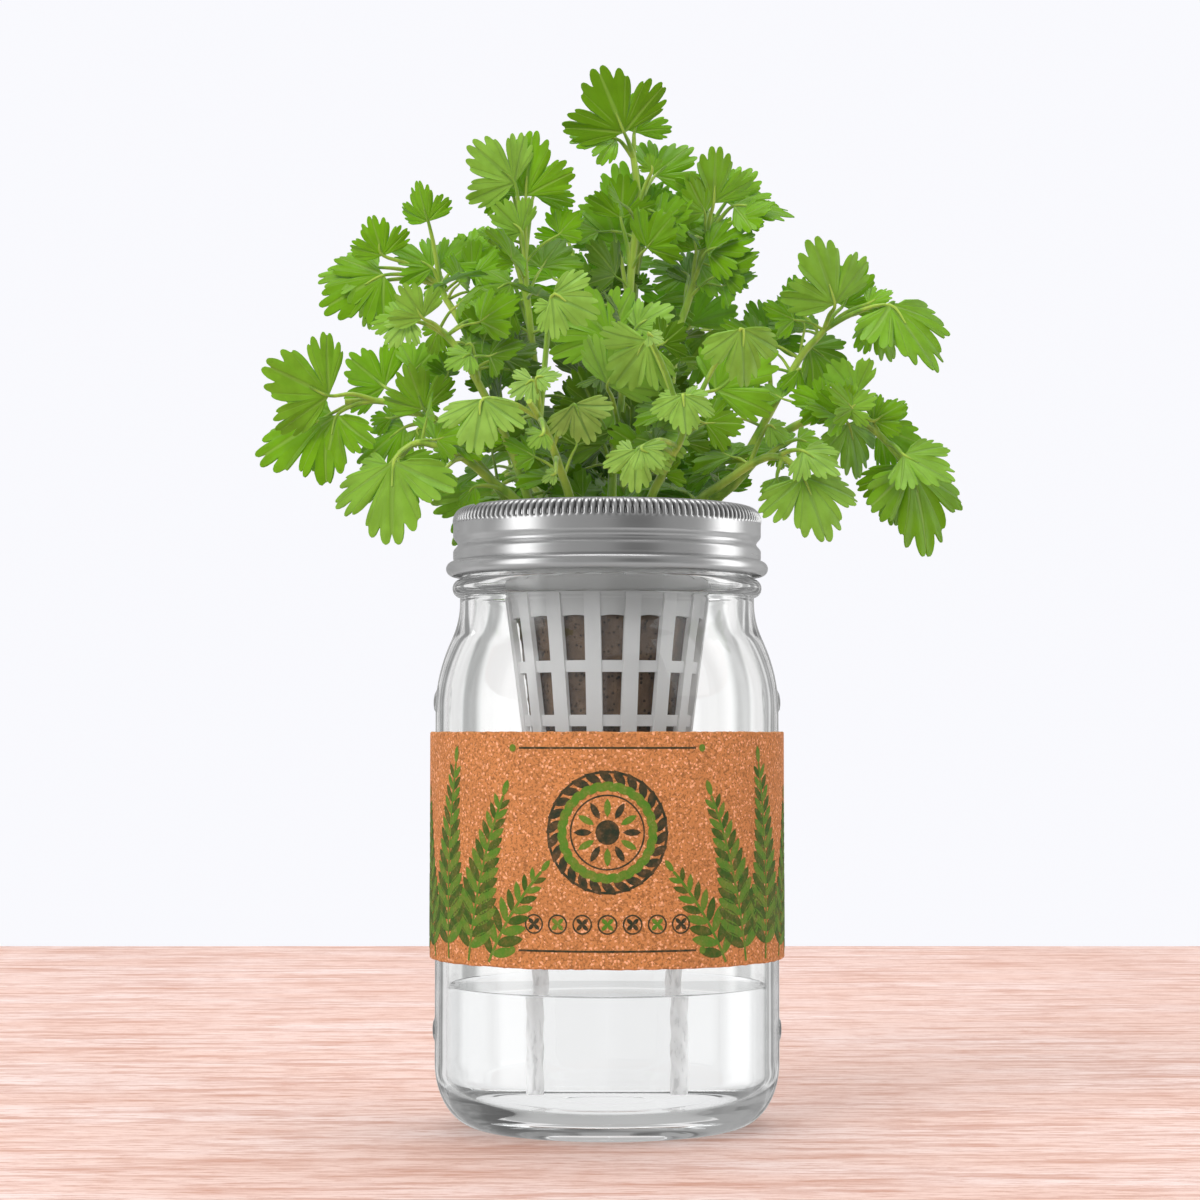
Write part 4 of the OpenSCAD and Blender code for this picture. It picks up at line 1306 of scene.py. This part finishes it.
def build_shoot(plan, blades, rng, box):
    """The mesh of a shoot: a stem, its leaves on their stalks and small inner leaves."""
    shoot, angle, k, back, inner = plan
    bm = bmesh.new()
    bm.verts.layers.float.new("tint")
    bm.loops.layers.uv.new("UVMap")
    path = stem_path(shoot, angle, k)
    n = len(path) - 1
    radii = [(STEM_R - STEM_LOSS * i / n) * MM for i in range(n + 1)]
    stalks = []
    for i, (x0, z0, x1, z1) in enumerate(shoot[3]):
        size = math.hypot(x1 - x0, z1 - z0)
        y = shoot[0] + FOOT_DEPTHS[i % 4]
        foot = turned((x0, y, z0), angle, k)
        tip = turned((x1, y + size * TIP_LEANS[i % 4], z1), angle, k)
        near = min(range(n + 1), key=lambda j: (path[j] - foot).length)
        root = path[max(near - 3, 7)]
        face = Vector((foot.x / 120, -back, FACE_LIFTS[i % 3]))
        face += Vector((rng.uniform(-0.25, 0.25), 0, rng.uniform(-0.2, 0.2)))
        curl = [rng.uniform(-0.25, 0.25), rng.uniform(-0.16, 0.06), rng.uniform(-0.1, 0.06)]
        # Leaves towards the front get a paler tint, as painted light; the others differ at random
        front = max(0, min(1, (-y - 14) / 34))
        tint = front * rng.uniform(0.45, 1) + (1 - front) * rng.uniform(-0.35, 0.35)
        add_leaf(bm, blades[i % 3], foot, tip, face, tint, curl, box)
        stalks.append((root, foot, foot + 0.3 * (tip - foot), 0.78))
    for _ in range(inner):
        root, foot, tip = inner_place(path, rng)
        if not INNER_LOW <= tip.z <= INNER_HIGH:
            continue
        face = Vector((rng.uniform(-0.6, 0.6), rng.uniform(-1.2, -0.3) * back, rng.uniform(0.2, 1)))
        curl = [rng.uniform(-0.3, 0.3), rng.uniform(-0.2, 0.05), rng.uniform(-0.15, 0.05)]
        # Inner leaves near the shoot's middle get a low tint, which darkens them as painted shade
        deep = 1 - min(1, math.hypot(foot.x, foot.z - SHADE_HEART_Z) / SHADE_HEART_R)
        tint = rng.uniform(-0.1, 0.4) - 1.1 * deep
        add_leaf(bm, blades[3 + rng.randint(0, 1)], foot, tip, face, tint, curl, box)
        stalks.append((root, foot, foot + 0.25 * (tip - foot), 0.5))
    bars = bmesh.new()
    add_bar(bars, [p * MM for p in path], radii, 10)
    for line in stalks:
        add_stalk(bars, *line)
    mesh = mesh_of("bars", bars)
    bm.from_mesh(mesh)
    bpy.data.meshes.remove(mesh)
    return bm


class PLANTER_OT_plant(bpy.types.Operator):
    """Grows the shoots of the plant out of the plug"""

    bl_idname = "planter.plant"
    bl_label = "Plant"

    def execute(self, context):
        sizes = context.scene.planter_sizes
        colours = context.scene.planter_colours
        leaf, stem = leaf_material(colours), stem_material(colours)
        thick = sizes.blade_t / (LEAF_SIZE * MM)
        blades = []
        for i, shape in enumerate(LEAF_SHAPES):
            columns, rows = (108, 7) if i < 3 else (54, 4)
            blades.append(leaf_blade(f"blade_{i}", columns, rows, shape, thick))
        low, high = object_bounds()
        box = [c + BOX_GAP for c in low], [c - BOX_GAP for c in high]
        for order, (node, plan) in enumerate(SHOOTS.items()):
            bm = build_shoot(plan, blades, random.Random(sizes.seed * 100 + order), box)
            made = add_piece(
                f"{node}_leaves", bm, "plant", [node], "coriander", stem, leaf, sharp=70
            )
            made.visible_glossy = False
        for mesh in blades:
            bpy.data.meshes.remove(mesh)
        return {"FINISHED"}


# ---- Studio ----


def facing(place, target):
    """The turn that points -Z from a place to its target."""
    return (Vector(target) - Vector(place)).to_track_quat("-Z", "Y")


def add_light(name, place, target, size, watts):
    """A soft white lamp that doesn't show in the metal."""
    light = bpy.data.lights.new(name, "AREA")
    light.shape = "RECTANGLE"
    light.size, light.size_y = size
    light.energy = watts
    obj = linked(name, light)
    obj.location = place
    obj.rotation_euler = facing(place, target).to_euler()
    obj.visible_glossy = False
    # Else the glass mirrors the key light over the cup
    obj.visible_transmission = name != "key_light"


def add_card(name, place, target, size, shade, rest):
    """A card out of the picture that shows in glass and metal, and fades to rest at its edges."""
    bm = bmesh.new()
    bm.loops.layers.uv.new("UVMap")
    turn = facing(place, target).to_matrix().to_4x4()
    scale = Matrix.Diagonal((*size, 1, 1))
    bmesh.ops.create_grid(
        bm, x_segments=1, y_segments=1, size=0.5, calc_uvs=True,
        matrix=Matrix.Translation(place) @ turn @ scale,
    )
    mesh = mesh_of(name, bm)
    made, tree = new_tree(name)
    uv = add(tree, "ShaderNodeUVMap", uv_map="UVMap").outputs[0]
    spot = add(tree, "ShaderNodeSeparateXYZ", {0: uv}).outputs
    off = maths(tree, "ABSOLUTE", maths(tree, "SUBTRACT", spot[0], 0.5))
    high = maths(tree, "ABSOLUTE", maths(tree, "SUBTRACT", spot[1], 0.5))
    off = maths(tree, "MAXIMUM", off, maths(tree, "MULTIPLY_ADD", high, 2.0, -0.5))
    glow = mixed(tree, fade(tree, off, 0.5, 0.2), (rest, rest, rest, 1), (shade, shade, shade, 1))
    finish_tree(tree, add(tree, "ShaderNodeEmission", {"Color": glow}).outputs[0])
    mesh.materials.append(made)
    obj = linked(name, mesh)
    obj.visible_camera = False
    obj.visible_diffuse = False
    obj.visible_shadow = False
    obj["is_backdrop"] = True


def add_camera(scene):
    """The camera, which stands where the photograph was taken."""
    lens = bpy.data.cameras.new("camera")
    lens.lens = CAMERA_LENS
    lens.sensor_width = 36
    scene.camera = linked("camera", lens)
    scene.camera.location = CAMERA_PLACE
    scene.camera.rotation_euler = (math.radians(CAMERA_TILT), 0, 0)


def add_table(colours):
    """The table top, whose back edge is the photograph's horizon."""
    bm = bmesh.new()
    bmesh.ops.create_grid(bm, x_segments=4, y_segments=4, size=1)
    bmesh.ops.scale(bm, vec=(*TABLE_HALF, 1), verts=bm.verts)
    bmesh.ops.translate(bm, vec=(0, TABLE_BACK - TABLE_HALF[1], 0), verts=bm.verts)
    mesh = mesh_of("table_top", bm)
    mesh.materials.append(floor_material(colours))
    floor = linked("table_top", mesh)
    floor.visible_transmission = False
    floor.visible_glossy = False
    floor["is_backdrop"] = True


def surround(scene):
    """White surroundings, whose brightness differs between the kinds of rays that meet them."""
    scene.world = bpy.data.worlds.new("white_surroundings")
    scene.world.use_nodes = True
    tree = scene.world.node_tree
    tree.nodes.clear()
    path = add(tree, "ShaderNodeLightPath").outputs

    def white(tint, strength):
        """A background's shader socket."""
        return add(
            tree, "ShaderNodeBackground", {"Color": (*tint, 1), "Strength": strength}
        ).outputs[0]

    both = white((0.95, 0.952, 0.99), 1.0)
    both = blended(tree, path["Is Diffuse Ray"], both, white((0.98, 0.98, 1.0), 0.5))
    # What is mirrored inside the glass is brighter than what the metal mirrors
    inside = maths(tree, "MINIMUM", path["Transmission Depth"], 1.0)
    mirrored = blended(tree, inside, white((1, 1, 1), 0.38), white((1, 1, 1), 0.78))
    both = blended(tree, path["Is Glossy Ray"], both, mirrored)
    both = blended(tree, path["Is Transmission Ray"], both, white((1.0, 0.985, 0.99), 0.96))
    add(tree, "ShaderNodeOutputWorld", {"Surface": both})


class PLANTER_OT_studio(bpy.types.Operator):
    """Sets up the camera, the table top, the lights and the white surroundings"""

    bl_idname = "planter.studio"
    bl_label = "Studio"

    def execute(self, context):
        scene = context.scene
        add_camera(scene)
        add_table(scene.planter_colours)
        for lamp in LIGHTS:
            add_light(*lamp)
        for name, turn, width, shade, rest in CARDS:
            a = math.radians(turn)
            place = (CARD_R * math.sin(a), -CARD_R * math.cos(a), CARD_Z)
            add_card(name, place, (0, 0, CARD_Z), (width, 1.0), shade, rest)
        for card in LEVEL_CARDS:
            add_card(*card)
        surround(scene)
        scene.view_settings.view_transform = "Standard"
        return {"FINISHED"}


class PLANTER_PT_panel(bpy.types.Panel):
    """Lists the sizes, the colours and the steps of the planter"""

    bl_idname = "PLANTER_PT_panel"
    bl_label = "Jar planter"
    bl_space_type = "VIEW_3D"
    bl_region_type = "UI"
    bl_category = "Planter"

    def draw(self, context):
        for group in (context.scene.planter_sizes, context.scene.planter_colours):
            column = self.layout.column(align=True)
            for name in group.__annotations__:
                column.prop(group, name)
        column = self.layout.column(align=True)
        for step in STEPS:
            column.operator(step.bl_idname)


STEPS = (
    PLANTER_OT_studio,
    PLANTER_OT_wicks,
    PLANTER_OT_jar,
    PLANTER_OT_sleeve,
    PLANTER_OT_band,
    PLANTER_OT_cup,
    PLANTER_OT_plug,
    PLANTER_OT_plant,
)
CLASSES = (PlanterSizes, PlanterColours, *STEPS, PLANTER_PT_panel)


def register():
    """Makes the classes and the scene's properties known to Blender."""
    for cls in CLASSES:
        bpy.utils.register_class(cls)
    bpy.types.Scene.planter_sizes = PointerProperty(type=PlanterSizes)
    bpy.types.Scene.planter_colours = PointerProperty(type=PlanterColours)


def unregister():
    """Takes back what register made known."""
    del bpy.types.Scene.planter_sizes
    del bpy.types.Scene.planter_colours
    for cls in reversed(CLASSES):
        bpy.utils.unregister_class(cls)


def main():
    """Builds the planter and its studio."""
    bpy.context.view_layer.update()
    register()
    for step in STEPS:
        group, name = step.bl_idname.split(".")
        if getattr(getattr(bpy.ops, group), name)() != {"FINISHED"}:
            raise RuntimeError(f"{step.bl_label} did not finish")
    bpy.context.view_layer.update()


if __name__ == "__main__":
    main()
